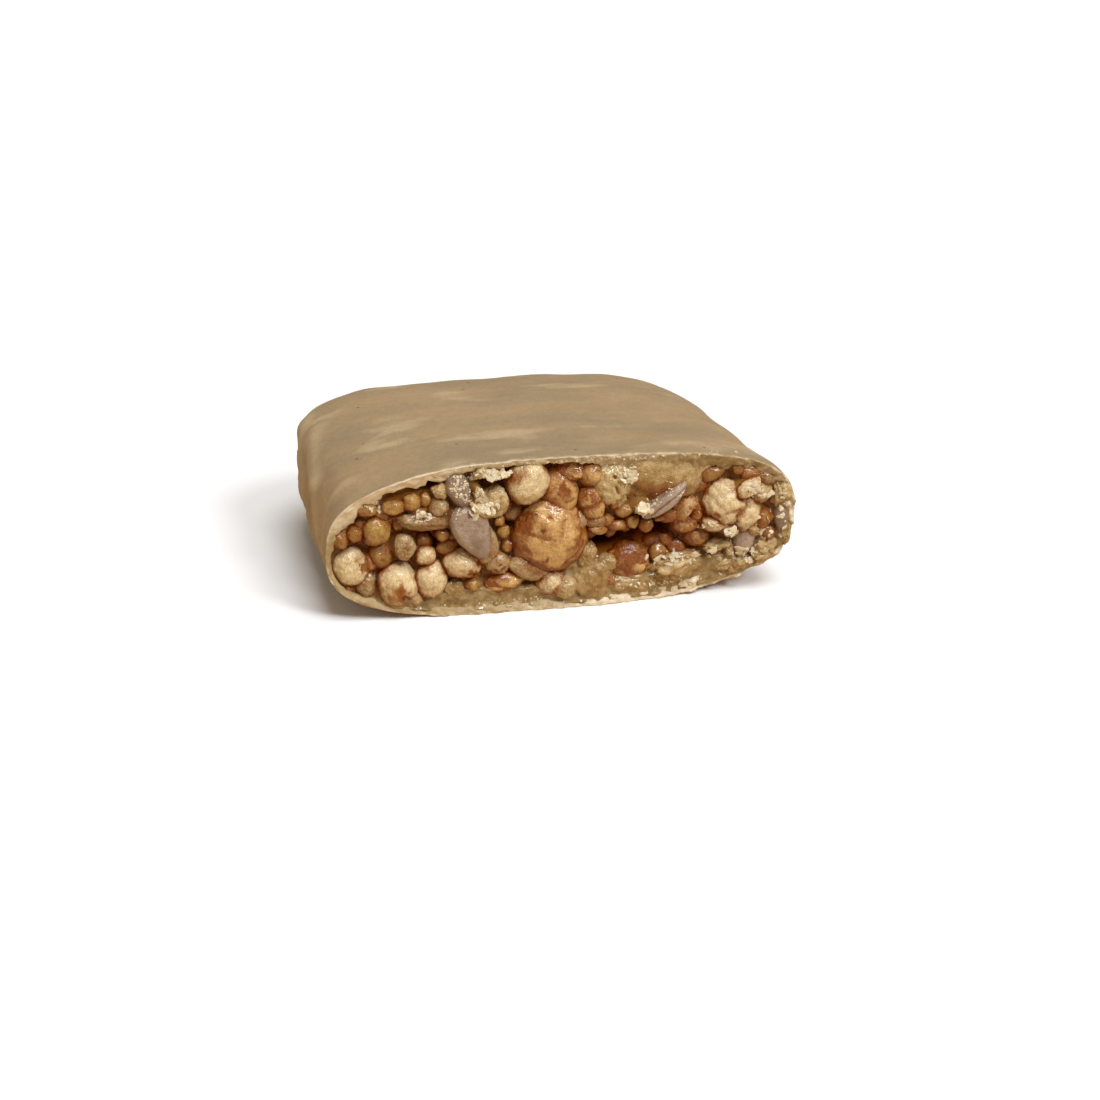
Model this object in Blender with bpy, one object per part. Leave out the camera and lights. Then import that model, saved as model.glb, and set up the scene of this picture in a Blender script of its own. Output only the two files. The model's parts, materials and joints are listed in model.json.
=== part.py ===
"""Half of a coated puffed-grain bar, snapped across and lying on its flat underside.

Two solids: the thin coating, a shell that is open at the break, and the granola inside it, with the
puffs, seeds and beads that show at the break standing out of its face.
Metres, +Z up. X runs across the bar and Y along it, with the break towards -Y.
The origin is on the flat underside, below the middle of the bar.
"""
import math
import random

import bmesh
import bpy
from mathutils import Matrix, Vector, noise

MM = 0.001

# Size of the half bar
WIDTH = 44.0 * MM
HEIGHT = 15.0 * MM
LENGTH = 30.4 * MM
COATING = 0.7 * MM
GAP = 0.3 * MM
PIECE_INSET = COATING + GAP + 0.06 * MM
BREAK_Y = -LENGTH / 2

# Cross-section: four quarter outlines meet at the widest height, a larger power is squarer
WIDEST = 0.446 * HEIGHT
TOP_LEFT_POWER = 2.9
TOP_LEFT_POWER_AT_END = 5.6
TOP_RIGHT_POWER = 3.45
UNDER_LEFT_POWER = 2.8
UNDER_RIGHT_POWER = 2.56
UNDERSIDE_CUT = 1.06

# Far end: how far the rounding reaches, how square it is, and how much thinner the bar gets there
END_ROUNDING = 11.9 * MM
END_POWER = 3.0
END_FLATTENING = 0.95
END_TAPER = 0.068

# Break line: slanted across the bar, a lip at the upper left and a bite at the lower right
BREAK_SLANT = -0.085
LIP = 1.8 * MM
LIP_POWER = 1.9
BITE = 2.0 * MM
BITE_START = 0.1
RAGGED = 0.25 * MM
RAGGED_AT_BITE = 0.6 * MM
RAGGED_SIZE = 1.5 * MM

# Lumps of the grains that press through the coating
LUMP_HEIGHT = 0.22 * MM
LUMP_SIZE = 5.0 * MM
SIDE_LUMPS = 1.5

# Break face of the granola: how deep it lies behind the rim, its lumps, and the hollow in it
FACE_DEPTH = 1.5 * MM
FACE_LUMP = 0.6 * MM
FACE_LUMP_SIZE = 3.0 * MM
HOLLOW_AT = (6.8 * MM, 6.3 * MM)
HOLLOW_SIZE = (5.0 * MM, 1.7 * MM)
HOLLOW_DEPTH = 3.6 * MM

# Mesh counts
AROUND = 56
SIDE_RINGS = 5
END_RINGS = 9
INNER_SIDE_RINGS = 3
INNER_END_RINGS = 6
CORE_AROUND = 36
FACE_RINGS = 4
END_TURN = math.radians(84)
FINE_ABOVE = 40.0

# Pieces that show at the break, largest first: name, centre (x, z), size (across, up, deep) in mm,
# turn in degrees, how far its middle stands in front of the granola's face in mm, and how pointed it is
LARGE_PIECES = (
    ("caramel_puff_big", -1.8, 7.3, 7.3, 7.8, 6.6, -35, 0.9, 0.0),
    ("white_puff_right", 15.9, 8.6, 5.7, 5.2, 5.0, 10, 0.8, 0.0),
    ("sunflower_kernel", -8.6, 7.9, 3.6, 6.2, 2.6, -27, 1.6, 0.5),
    ("cream_mass", 6.9, 11.2, 8.4, 4.4, 4.6, -8, 0.6, 0.0),
    ("grey_seed_lying", 10.4, 9.0, 6.6, 1.9, 2.4, -36, 1.2, 0.0),
    ("pale_puff_top", -3.8, 12.4, 4.3, 3.8, 4.0, 15, 1.3, 0.0),
    ("caramel_puff_top", -0.1, 11.1, 3.9, 4.6, 4.0, -5, 0.6, 0.0),
    ("grey_seed_upper", -10.1, 11.8, 2.6, 4.2, 2.2, -28, 1.0, 0.3),
    ("pale_puff_split", -15.7, 3.6, 3.7, 4.3, 3.8, -10, 1.0, 0.0),
    ("pale_puff_left", -19.2, 5.9, 3.4, 3.8, 3.6, 0, 0.9, 0.0),
    ("pale_puff_low", -12.7, 3.9, 3.2, 3.9, 3.6, 20, 1.0, 0.0),
    ("cream_puff", -9.8, 5.0, 3.7, 3.1, 3.2, 12, 0.9, 0.0),
    ("caramel_puff_low", 6.4, 3.9, 3.7, 4.2, 3.6, 8, 1.1, 0.0),
    ("flat_grain", -3.8, 4.1, 4.2, 2.2, 2.0, 18, 0.8, 0.0),
    ("yellow_mass_low", 3.2, 3.3, 3.4, 4.4, 3.2, 15, 0.4, 0.0),
    ("white_puff_low", -1.2, 2.5, 3.3, 2.8, 2.8, 0, 0.8, 0.0),
    ("crumb_ridge", 11.2, 3.2, 5.6, 2.4, 2.6, -15, 0.4, 0.0),
    ("grey_grain_long", -13.4, 9.6, 4.8, 1.7, 2.0, -10, 0.8, 0.0),
    ("puff_ring", 12.4, 7.8, 3.2, 3.4, 2.8, 0, 0.2, 0.0),
    ("tan_ball", -17.5, 8.9, 2.7, 2.7, 2.6, 0, 0.8, 0.0),
    ("dark_tan_ball", -17.0, 6.6, 2.6, 2.6, 2.4, 0, 0.4, 0.0),
    ("yellow_lump", -6.9, 10.9, 2.8, 2.8, 2.6, 0, 0.6, 0.0),
    ("brown_shard", -5.7, 2.6, 4.2, 1.7, 2.0, 8, 0.5, 0.3),
    ("amber_puff", 2.8, 9.4, 2.4, 3.4, 2.6, -15, 0.9, 0.0),
    ("grey_piece_right", 18.0, 5.4, 2.6, 3.2, 2.4, 10, 0.3, 0.0),
    ("tan_piece_right", 14.0, 11.6, 4.2, 2.1, 2.4, -4, 0.2, 0.0),
    ("glass_bead", -15.1, 7.4, 2.1, 2.7, 2.2, 0, 0.9, 0.0),
    ("amber_bead_right", 13.2, 5.4, 2.8, 2.0, 2.2, 0, 0.2, 0.0),
    ("tan_crumb_right", 17.6, 10.9, 2.4, 2.2, 2.2, 0, 0.2, 0.0),
    ("amber_bead_end", 19.4, 7.2, 2.0, 2.4, 2.0, 0, 0.2, 0.0),
)

# Unevenness of every piece
UNEVEN = 0.12
UNEVEN_SIZE = 2.2 * MM

# Small beads fill what is left of the face
BEAD_TRIES = 1500
BEAD_COUNT = 38
BEAD_PROUD = 0.2
BEAD_LARGEST = 2.4 * MM
BEAD_SMALLEST = 1.3 * MM
BEAD_CROWDING = 0.72
BEAD_SEED = 11

COATING_COLOUR = (0.352, 0.262, 0.155, 1.0)
GRANOLA_COLOUR = (0.468, 0.285, 0.120, 1.0)


def signed_power(value, power):
    return math.copysign(abs(value) ** power, value)


def clamp(value):
    return min(max(value, 0.0), 1.0)


def quarter_power(x_side, above, back):
    """How square the outline is in one of its four quarters, back being 0 at the break, 1 at the end."""
    if not above:
        return UNDER_LEFT_POWER if x_side < 0 else UNDER_RIGHT_POWER
    if x_side < 0:
        return TOP_LEFT_POWER + (TOP_LEFT_POWER_AT_END - TOP_LEFT_POWER) * back
    return TOP_RIGHT_POWER


def section_point(angle, back, inset):
    """Point (x, z) of the cross-section, with the outline moved in by inset."""
    cosine = math.cos(angle)
    sine = math.sin(angle)
    above = sine >= 0
    power = quarter_power(cosine, above, back)
    x = (WIDTH / 2 - inset) * signed_power(cosine, 2 / power)
    if above:
        z = WIDEST + (HEIGHT - WIDEST - inset) * abs(sine) ** (2 / power)
    else:
        z = WIDEST - (WIDEST * UNDERSIDE_CUT - inset) * abs(sine) ** (2 / power)
    return x, max(z, inset)


def break_offset(x, z):
    """How far the break line lies behind the straight cut at (x, z)."""
    left = clamp(-x / (WIDTH / 2))
    right = clamp(x / (WIDTH / 2) - BITE_START)
    high = clamp((z - WIDEST) / (HEIGHT - WIDEST))
    low = clamp((WIDEST - z) / WIDEST)
    return BREAK_SLANT * x - LIP * left ** LIP_POWER * high + BITE * right * low


def surface_point(angle, along, inset, start):
    """Point on the bar's skin moved in by inset; along is 0 at start behind the break, 1 at the end."""
    length = LENGTH - inset
    distance = start + (length - start) * along
    back = distance / length
    x, z = section_point(angle, back, inset)
    y = BREAK_Y + distance + break_offset(x, z) * (1 - back)
    rounding = clamp((distance - (length - END_ROUNDING)) / END_ROUNDING)
    across = (1 - rounding ** END_POWER) ** (1 / END_POWER)
    upright = (1 - (rounding * END_FLATTENING) ** END_POWER) ** (1 / END_POWER)
    x *= across * (1 - END_TAPER * back ** 2)
    z = max(WIDEST + (z - WIDEST) * upright, inset)
    return Vector((x, y, z))


def stations(side_rings, end_rings, inset, start):
    """Places along the bar: evenly along the side, then crowded towards the end's roundest part."""
    length = LENGTH - inset - start
    side = 1 - END_ROUNDING / length
    places = [side * i / side_rings for i in range(side_rings)]
    for i in range(end_rings):
        turn = END_TURN * i / (end_rings - 1)
        places.append(side + (1 - side) * math.sin(turn))
    return places


def add_ring(bm, points):
    """Closed loop of edges through the points."""
    verts = [bm.verts.new(point) for point in points]
    edges = [bm.edges.new((verts[i - 1], verts[i])) for i in range(len(verts))]
    return verts, edges


def bridge_rings(bm, rings):
    """Skin over the loops in order."""
    for (_, first), (_, second) in zip(rings, rings[1:]):
        bmesh.ops.bridge_loops(bm, edges=first + second)


def close_ring(bm, ring, centre):
    """Fan of triangles from a loop to a centre point."""
    tip = bm.verts.new(centre)
    verts = ring[0]
    for i in range(len(verts)):
        bm.faces.new((verts[i - 1], verts[i], tip))


def angles(count):
    return [2 * math.pi * (i + 0.5) / count for i in range(count)]


def ring_centre(points):
    return sum(points, Vector()) / len(points)


def finish_mesh(bm, name, smooth):
    """Mesh of triangles with its faces pointing out."""
    bmesh.ops.recalc_face_normals(bm, faces=bm.faces[:])
    bmesh.ops.triangulate(bm, faces=bm.faces[:])
    mesh = bpy.data.meshes.new(name)
    bm.to_mesh(mesh)
    bm.free()
    if smooth:
        mesh.shade_smooth()
    return mesh


def ragged_edge(point):
    """How far the broken edge of the coating strays along the bar, more at the bite."""
    right = clamp(point.x / (WIDTH / 2) - BITE_START)
    low = clamp((WIDEST - point.z) / WIDEST)
    reach = RAGGED + (RAGGED_AT_BITE - RAGGED) * right * low
    return reach * noise.noise(point / RAGGED_SIZE)


def coating_skin_point(angle, along):
    """Outer skin of the coating, with the lumps of the grains under it."""
    point = surface_point(angle, along, 0.0, 0.0)
    side = surface_point(angle, along, COATING, 0.0)
    outward = point - side
    outward.y = 0
    if outward.length > 0:
        outward.normalize()
    steepness = abs(outward.x)
    lump = LUMP_HEIGHT * (1 + (SIDE_LUMPS - 1) * steepness) * noise.noise(point / LUMP_SIZE)
    if point.z > 0:
        point += outward * lump
    point.z = max(point.z, 0.0)
    return point


def coating_mesh():
    """Shell with an open, ragged break: outer rings to the far end and inner rings back from it."""
    bm = bmesh.new()
    outer = []
    for along in stations(SIDE_RINGS, END_RINGS, 0.0, 0.0):
        outer.append(add_ring(bm, [coating_skin_point(a, along) for a in angles(AROUND)]))
    inner = []
    for along in stations(INNER_SIDE_RINGS, INNER_END_RINGS, COATING, 0.0):
        inner.append(add_ring(bm, [surface_point(a, along, COATING, 0.0) for a in angles(AROUND)]))
    for verts, _ in (outer[0], inner[0]):
        for vert in verts:
            vert.co.y += ragged_edge(vert.co)
    bridge_rings(bm, outer)
    bridge_rings(bm, inner)
    bridge_rings(bm, [outer[0], inner[0]])
    for rings, y in ((outer, BREAK_Y + LENGTH), (inner, BREAK_Y + LENGTH - COATING)):
        centre = ring_centre([vert.co for vert in rings[-1][0]])
        close_ring(bm, rings[-1], Vector((centre.x, y, centre.z)))
    return finish_mesh(bm, "coating", smooth=True)


def face_depth(x, z):
    """How far the granola's face lies behind the break line at (x, z)."""
    lumps = FACE_LUMP * noise.noise(Vector((x, 0, z)) / FACE_LUMP_SIZE)
    across = (x - HOLLOW_AT[0]) / HOLLOW_SIZE[0]
    up = (z - HOLLOW_AT[1]) / HOLLOW_SIZE[1]
    hollow = HOLLOW_DEPTH * math.exp(-across ** 2 - up ** 2)
    return FACE_DEPTH + lumps + hollow


def face_point(x, z):
    return Vector((x, BREAK_Y + break_offset(x, z) + face_depth(x, z), z))


def core_mesh():
    """Granola without its pieces: fills the coating and has a lumpy face a little behind the rim."""
    bm = bmesh.new()
    inset = COATING + GAP
    rim_back = FACE_DEPTH + FACE_LUMP
    rings = []
    for along in stations(INNER_SIDE_RINGS, INNER_END_RINGS, inset, rim_back):
        points = [surface_point(a, along, inset, rim_back) for a in angles(CORE_AROUND)]
        rings.append(add_ring(bm, points))
    bridge_rings(bm, rings)
    back = ring_centre([vert.co for vert in rings[-1][0]])
    close_ring(bm, rings[-1], Vector((back.x, BREAK_Y + LENGTH - inset, back.z)))
    rim = [vert.co.copy() for vert in rings[0][0]]
    middle = ring_centre(rim)
    face = [rings[0]]
    for i in range(1, FACE_RINGS):
        reach = 1 - i / FACE_RINGS
        points = []
        for corner in rim:
            place = middle + (corner - middle) * reach
            points.append(face_point(place.x, place.z))
        face.append(add_ring(bm, points))
    bridge_rings(bm, face)
    close_ring(bm, face[-1], face_point(middle.x, middle.z))
    return finish_mesh(bm, "granola", smooth=False)


def keep_inside(point):
    """Pull a point that lies outside the coating's inner wall back inside the granola's outline."""
    inset = PIECE_INSET
    back = clamp((point.y - BREAK_Y) / LENGTH)
    narrow = 1 - END_TAPER * back ** 2
    low_side = point.z < WIDEST
    height = (WIDEST * UNDERSIDE_CUT if low_side else HEIGHT - WIDEST) - inset
    across = abs(point.x) / ((WIDTH / 2 - inset) * narrow)
    up = abs(point.z - WIDEST) / height
    power = quarter_power(point.x, not low_side, back)
    reach = (across ** power + up ** power) ** (1 / power)
    if reach > 1:
        point.x /= reach
        point.z = WIDEST + (point.z - WIDEST) / reach
    point.z = max(point.z, inset)
    return point


def rounded_piece(name, centre, size, turn, detail, point):
    """Uneven rounded grain as an object, narrower towards its lower end, kept inside the coating."""
    bm = bmesh.new()
    if detail > 0:
        bmesh.ops.create_icosphere(bm, subdivisions=detail, radius=0.5)
    else:
        bmesh.ops.create_uvsphere(bm, u_segments=6, v_segments=4, radius=0.5)
    for vert in bm.verts:
        vert.co.x *= 1 - point * (0.5 - vert.co.z)
    placing = Matrix.Translation(centre) @ Matrix.Rotation(turn, 4, "Y") @ Matrix.Diagonal((*size, 1))
    bmesh.ops.transform(bm, matrix=placing, verts=bm.verts[:])
    for vert in bm.verts:
        swell = 1 + UNEVEN * noise.noise(vert.co / UNEVEN_SIZE)
        vert.co = keep_inside(centre + (vert.co - centre) * swell)
    return bpy.data.objects.new(name, finish_mesh(bm, name, smooth=False))


def place_on_face(x, z, proud):
    """Centre of a piece that stands proud of the granola's face at (x, z)."""
    point = keep_inside(Vector((x, BREAK_Y, z)))
    return face_point(point.x, point.z) + Vector((0, -proud, 0))


def large_pieces():
    """The pieces that show most, and the disc that each covers on the face."""
    pieces = []
    discs = []
    for name, x, z, across, up, deep, turn, proud, point in LARGE_PIECES:
        centre = place_on_face(x * MM, z * MM, proud * MM)
        size = Vector((across, deep, up)) * MM
        detail = 3 if across * up > FINE_ABOVE else 2
        pieces.append(rounded_piece(name, centre, size, math.radians(turn), detail, point))
        discs.append((centre.x, centre.z, (across + up) / 4 * MM))
    return pieces, discs


def fits_between(x, z, radius, discs):
    """Whether a bead at (x, z) lies inside the outline and isn't crowded by its neighbours."""
    wanted = Vector((x, BREAK_Y, z))
    edge = wanted + (wanted - Vector((0, BREAK_Y, WIDEST))).normalized() * radius
    if (keep_inside(edge.copy()) - edge).length > 0:
        return False
    for other_x, other_z, other_radius in discs:
        room = BEAD_CROWDING * (radius + other_radius)
        if math.hypot(x - other_x, z - other_z) < room:
            return False
    return True


def small_beads(discs):
    """Beads, largest first, where the large pieces leave room on the face."""
    draw = random.Random(BEAD_SEED)
    beads = []
    for attempt in range(BEAD_TRIES):
        if len(beads) == BEAD_COUNT:
            break
        size = BEAD_LARGEST + (BEAD_SMALLEST - BEAD_LARGEST) * attempt / BEAD_TRIES
        x = draw.uniform(-WIDTH / 2, WIDTH / 2)
        z = draw.uniform(0, HEIGHT)
        if not fits_between(x, z, size / 2, discs):
            continue
        discs.append((x, z, size / 2))
        centre = place_on_face(x, z, size * BEAD_PROUD)
        shape = Vector((size, size, size * draw.uniform(0.8, 1.2)))
        name = "bead_%02d" % len(beads)
        beads.append(rounded_piece(name, centre, shape, draw.uniform(-1, 1), 0, 0.0))
    return beads


def largest_island(bm):
    """Drop loose scraps and sealed hollows: only the shell with the most faces stays.

    A hollow may touch the outer shell along an edge, so the search doesn't cross such an edge.
    """
    unseen = set(bm.faces)
    islands = []
    while unseen:
        island = {unseen.pop()}
        front = list(island)
        while front:
            face = front.pop()
            for edge in face.edges:
                if len(edge.link_faces) > 2:
                    continue
                for other in edge.link_faces:
                    if other in unseen:
                        unseen.remove(other)
                        island.add(other)
                        front.append(other)
        islands.append(island)
    islands.sort(key=len)
    for island in islands[:-1]:
        bmesh.ops.delete(bm, geom=list(island), context="FACES")


def fuse(core, pieces):
    """One Boolean union of the core and the pieces, applied, with the pieces then removed."""
    group = bpy.data.collections.new("pieces_at_the_break")
    bpy.context.scene.collection.children.link(group)
    for piece in pieces:
        group.objects.link(piece)
    union = core.modifiers.new("fuse", "BOOLEAN")
    union.operation = "UNION"
    union.operand_type = "COLLECTION"
    union.collection = group
    union.solver = "EXACT"
    bpy.context.view_layer.update()
    fused = core.evaluated_get(bpy.context.evaluated_depsgraph_get())
    bm = bmesh.new()
    bm.from_mesh(fused.to_mesh())
    fused.to_mesh_clear()
    core.modifiers.remove(union)
    for piece in pieces:
        bpy.data.objects.remove(piece, do_unlink=True)
    bpy.data.collections.remove(group)
    bmesh.ops.triangulate(bm, faces=bm.faces[:])
    largest_island(bm)
    bm.to_mesh(core.data)
    bm.free()


def add_object(name, mesh, material):
    """Named sub-part with its own material."""
    mesh.materials.clear()
    mesh.materials.append(material)
    obj = bpy.data.objects.new(name, mesh)
    bpy.context.scene.collection.objects.link(obj)
    return obj


def make_material(name, colour, roughness):
    material = bpy.data.materials.new(name)
    material.use_nodes = True
    shader = material.node_tree.nodes["Principled BSDF"]
    shader.inputs["Base Color"].default_value = colour
    shader.inputs["Roughness"].default_value = roughness
    shader.inputs["Metallic"].default_value = 0.0
    return material


def main():
    for obj in list(bpy.data.objects):
        bpy.data.objects.remove(obj, do_unlink=True)
    add_object("coating", coating_mesh(), make_material("coating", COATING_COLOUR, 0.55))
    core = add_object("granola", core_mesh(), make_material("granola", GRANOLA_COLOUR, 0.4))
    pieces, discs = large_pieces()
    fuse(core, pieces + small_beads(discs))


main()
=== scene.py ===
"""Half of a coated puffed-grain bar: its coating with the broken rim, and the filling at the break.

Metres, +Z up. X runs across the bar and Y along it, with the break towards -Y.
"""
import bisect
import json
import math
import random

import bmesh
import bpy
from bpy.props import FloatProperty, FloatVectorProperty, IntProperty, PointerProperty
from mathutils import Matrix, Vector, noise
from mathutils.bvhtree import BVHTree

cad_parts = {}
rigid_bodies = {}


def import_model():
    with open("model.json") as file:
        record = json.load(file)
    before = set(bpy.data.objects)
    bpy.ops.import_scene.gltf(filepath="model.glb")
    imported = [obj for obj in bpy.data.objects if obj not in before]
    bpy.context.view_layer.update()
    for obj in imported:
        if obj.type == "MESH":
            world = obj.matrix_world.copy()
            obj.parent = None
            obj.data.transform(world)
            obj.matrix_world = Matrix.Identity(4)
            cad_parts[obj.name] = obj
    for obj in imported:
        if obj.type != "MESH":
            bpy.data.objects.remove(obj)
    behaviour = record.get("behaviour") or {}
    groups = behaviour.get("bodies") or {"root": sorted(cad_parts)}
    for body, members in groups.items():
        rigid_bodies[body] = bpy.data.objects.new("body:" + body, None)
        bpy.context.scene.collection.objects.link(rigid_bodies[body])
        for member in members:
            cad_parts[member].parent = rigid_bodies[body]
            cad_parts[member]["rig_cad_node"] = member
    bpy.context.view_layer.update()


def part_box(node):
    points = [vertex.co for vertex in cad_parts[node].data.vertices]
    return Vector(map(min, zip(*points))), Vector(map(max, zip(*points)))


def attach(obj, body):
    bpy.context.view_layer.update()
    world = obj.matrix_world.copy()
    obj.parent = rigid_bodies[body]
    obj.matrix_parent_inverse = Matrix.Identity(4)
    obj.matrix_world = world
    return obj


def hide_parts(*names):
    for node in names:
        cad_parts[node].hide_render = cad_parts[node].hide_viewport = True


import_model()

bl_info = {
    "name": "Granola bar half",
    "version": (1, 0, 0),
    "blender": (4, 5, 0),
    "location": "3D View > Sidebar > Granola bar",
    "description": "Builds a broken half of a coated puffed-grain bar and its studio stage",
    "category": "Add Mesh",
}

MM = 0.001

# Size of the half bar, from the frame
COATING_LOW, COATING_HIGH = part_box("coating")
WIDTH = round((COATING_HIGH.x - COATING_LOW.x) / MM) * MM
HEIGHT = round(COATING_HIGH.z / MM) * MM
LENGTH = 2 * COATING_HIGH.y
BREAK_Y = -LENGTH / 2

# Cross-section: four quarter outlines meet at the widest height, a larger power is squarer
WIDEST = 0.446 * HEIGHT
TOP_LEFT_POWER = 2.9
TOP_LEFT_POWER_AT_END = 5.6
TOP_RIGHT_POWER = 3.45
UNDER_LEFT_POWER = 2.8
UNDER_RIGHT_POWER = 2.56
UNDERSIDE_CUT = 1.06

# Far end: how far the rounding reaches, how square it is, and how much thinner the bar gets there
END_ROUNDING = 11.9 * MM
END_POWER = 3.0
END_FLATTENING = 0.95
END_TAPER = 0.068
END_TURN = math.radians(84)

# Break line: slanted across the bar, a lip at the upper left and a bite at the lower right
BREAK_SLANT = -0.085
LIP = 1.8 * MM
LIP_POWER = 1.9
BITE = 2.0 * MM
BITE_START = 0.1

# Camera: where it stands round the middle of the break, and its lens
CAMERA_TURN = math.radians(-18.08)
CAMERA_RISE = math.radians(23.05)
CAMERA_DISTANCE = 151.2 * MM
CAMERA_ROLL = math.radians(1.6)
CAMERA_LENS = 54.0
CAMERA_SHIFT = (-0.01605, -0.01452)

# Floor: its pale colour, and the warmer one that it throws back at the bar, as a board below it would
FLOOR_SEEN = (0.93, 0.95, 0.99, 1.0)
FLOOR_BOUNCE = (0.66, 0.48, 0.30, 1.0)

# Sky: its strength, the colour of its light, and the pale colour seen behind the floor
SKY_STRENGTH = 0.30
SKY_LIGHT = (1.0, 0.86, 0.66, 1.0)
SKY_SEEN = (3.33, 3.33, 3.33, 1.0)

# Hollows between the grains: name, middle x and z, and reach across and up, all in mm
HOLLOWS = (
    ("left_of_dark_ball", 3.4, 6.4, 2.0, 0.9),
    ("over_dark_ball", 5.9, 6.9, 2.2, 0.6),
    ("under_ridge", 9.4, 7.8, 2.4, 1.0),
    ("beside_big_ball", -5.2, 9.6, 0.9, 1.2),
    ("under_left_rim", -12.3, 13.0, 0.9, 0.6),
    ("by_top_puff", -6.3, 13.2, 1.0, 0.6),
    ("middle_left", -11.9, 7.6, 0.9, 0.8),
)

# Pale binder between the grains: name, middle x and z, reach across and up, depth behind the break, in mm
BINDER_ZONES = (
    ("bottom_left", -15.5, 0.7, 3.4, 1.4, 0.3),
    ("bottom", -8.5, 0.9, 5.5, 1.7, 0.2),
    ("bottom_middle", -2.0, 0.9, 5.5, 1.5, 0.2),
    ("beside_low_lump", 0.9, 3.4, 0.9, 2.4, 0.5),
    ("bottom_right", 7.0, 1.0, 5.0, 1.8, 0.1),
    ("right_low", 15.0, 1.9, 4.6, 2.3, 0.3),
    ("right_end", 21.2, 6.5, 0.8, 4.0, 0.8),
)

# Where the coating is thicker at the break: name, x, z, reach, extra thickness, all in mm, and its
# colour there from yellow -1 to cream 1
RIM_SWELLS = (
    ("left_corner", -20.7, 10.4, 2.2, 1.10, 0.9),
    ("upper_left", -17.6, 12.0, 2.4, 0.70, 0.8),
    ("upper_left_high", -13.4, 13.2, 2.4, 0.90, 0.7),
    ("over_seed", -9.6, 14.2, 1.6, 0.40, 0.5),
    ("left_low", -21.0, 4.0, 5.0, -0.14, -1.6),
    ("underside", -9.5, 0.0, 8.0, 0.05, -0.8),
    ("underside_right", 4.5, 0.0, 6.0, 0.30, 0.2),
    ("upper_right", 8.5, 15.0, 4.5, 2.00, -0.3),
    ("right_corner", 16.0, 13.8, 3.5, 0.80, -0.9),
    ("right_end", 21.8, 7.0, 3.5, 0.10, 0.3),
    ("lower_right", 14.0, 0.8, 5.0, 0.50, 0.7),
)

# Soft folds on the coating's left flank: from y behind the break and z to y and z, radius and height, in mm
FLANK_FOLDS = (
    (18.0, 12.8, 9.0, 10.5, 1.0, 0.55),
    (9.0, 10.5, 5.0, 7.0, 0.9, 0.45),
    (27.0, 13.0, 21.0, 12.0, 1.2, 0.50),
    (21.0, 12.0, 13.0, 8.0, 1.2, 0.45),
    (4.2, 12.6, 2.8, 9.0, 0.7, 0.30),
    (24.0, 8.0, 19.0, 5.0, 1.3, 0.40),
    (12.5, 5.5, 8.0, 3.5, 1.0, 0.35),
)

# Grains that show at the break. A row is: name, x and z where it shows on the break, how far its front
# lies behind the break, its size across, up and deep, all in mm, its turn in degrees, its tint from
# pale 0 to dark 1, and its marks. A mark is a line on the grain's front from (x, z) to (x, z) with a
# radius and a height, as shares of the grain's radius: bumps are above 0, dents and creases below it.
# Bumps get painted light and dents painted shade, unless a last number gives the shade: pale below 0, dark
# above it.
# A given shade paints the grain's own tone, and painted shade in holes, crevices and edges turned from the
# light.
PALE_PUFFS = (
    ("left", -19.8, 5.8, -0.4, 3.6, 4.0, 3.5, 0, 0.05,
     ((0.62, 0.10, 0.98, 0.04, 0.18, -0.36, 1.2), (0.1, 0.6, 0.3, 0.55, 0.2, 0.03, 0.35))),
    ("left_nub", -18.2, 6.1, 0.5, 1.9, 2.1, 1.8, 0, 0.55, ()),
    ("split", -15.7, 3.6, -0.7, 4.0, 4.6, 3.7, 0, 0.25,
     ((0.24, -0.38, 0.42, -0.80, 0.11, -0.17, 1.6), (-0.16, -0.04, 0.20, -0.30, 0.24, -0.05, 1.0),
      (0.02, 0.30, 0.08, 0.02, 0.10, -0.01, 0.7), (0.45, 0.22, 0.60, 0.02, 0.34, 0.10, -0.3),
      (-0.5, -0.3, -0.3, -0.7, 0.2, 0.0, 0.35))),
    ("split_foot", -14.5, 2.4, -0.1, 1.7, 1.8, 1.8, 0, 0.45, ()),
    ("low", -12.7, 4.0, -0.6, 3.2, 3.9, 3.3, 15, 0.0,
     ((-0.1, 0.5, 0.0, -0.3, 0.05, -0.03, 0.25), (0.1, -0.1, 0.14, -0.3, 0.1, 0.0, 0.25))),
    ("low_cap", -13.1, 6.3, -0.1, 2.0, 2.0, 1.9, 0, 0.35, ()),
    ("pitted", -9.8, 5.4, -0.5, 3.9, 3.2, 3.0, 14, 0.15,
     ((0.35, -0.2, 0.4, -0.3, 0.12, -0.05, 0.9), (0.70, 0.25, 0.72, 0.2, 0.16, -0.08, 0.8),
      (0.50, -0.36, 0.78, -0.46, 0.11, -0.12, 1.2), (0.0, -0.3, 0.5, -0.5, 0.2, 0.0, 0.4))),
    ("top", -4.0, 13.0, -0.8, 4.3, 4.4, 3.9, 20, 0.0,
     ((0.5, 0.8, 0.55, 0.8, 0.16, -0.04, 0.7), (0.2, 0.6, 0.1, -0.5, 0.05, -0.02, 0.3),
      (-0.75, -0.1, -0.5, 0.6, 0.20, 0.0, 0.45))),
    ("bright_low", -1.6, 2.9, -0.3, 3.0, 2.7, 2.6, -20, -0.45, ((0.1, 0.3, 0.4, 0.0, 0.3, 0.10),)),
    ("ring", 11.1, 8.9, 0.0, 3.6, 3.9, 3.0, 0, 0.72,
     ((0.22, 0.26, 0.12, -0.08, 0.22, -0.62, 2.2), (-0.60, -0.22, 0.6, -0.42, 0.08, -0.12, 0.5),
      (-0.2, 0.5, 0.05, 0.40, 0.32, 0.16, -0.2))),
    ("between_kernel", -8.3, 5.5, 0.7, 2.2, 2.0, 1.8, 0, 0.40, ()),
)

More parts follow.
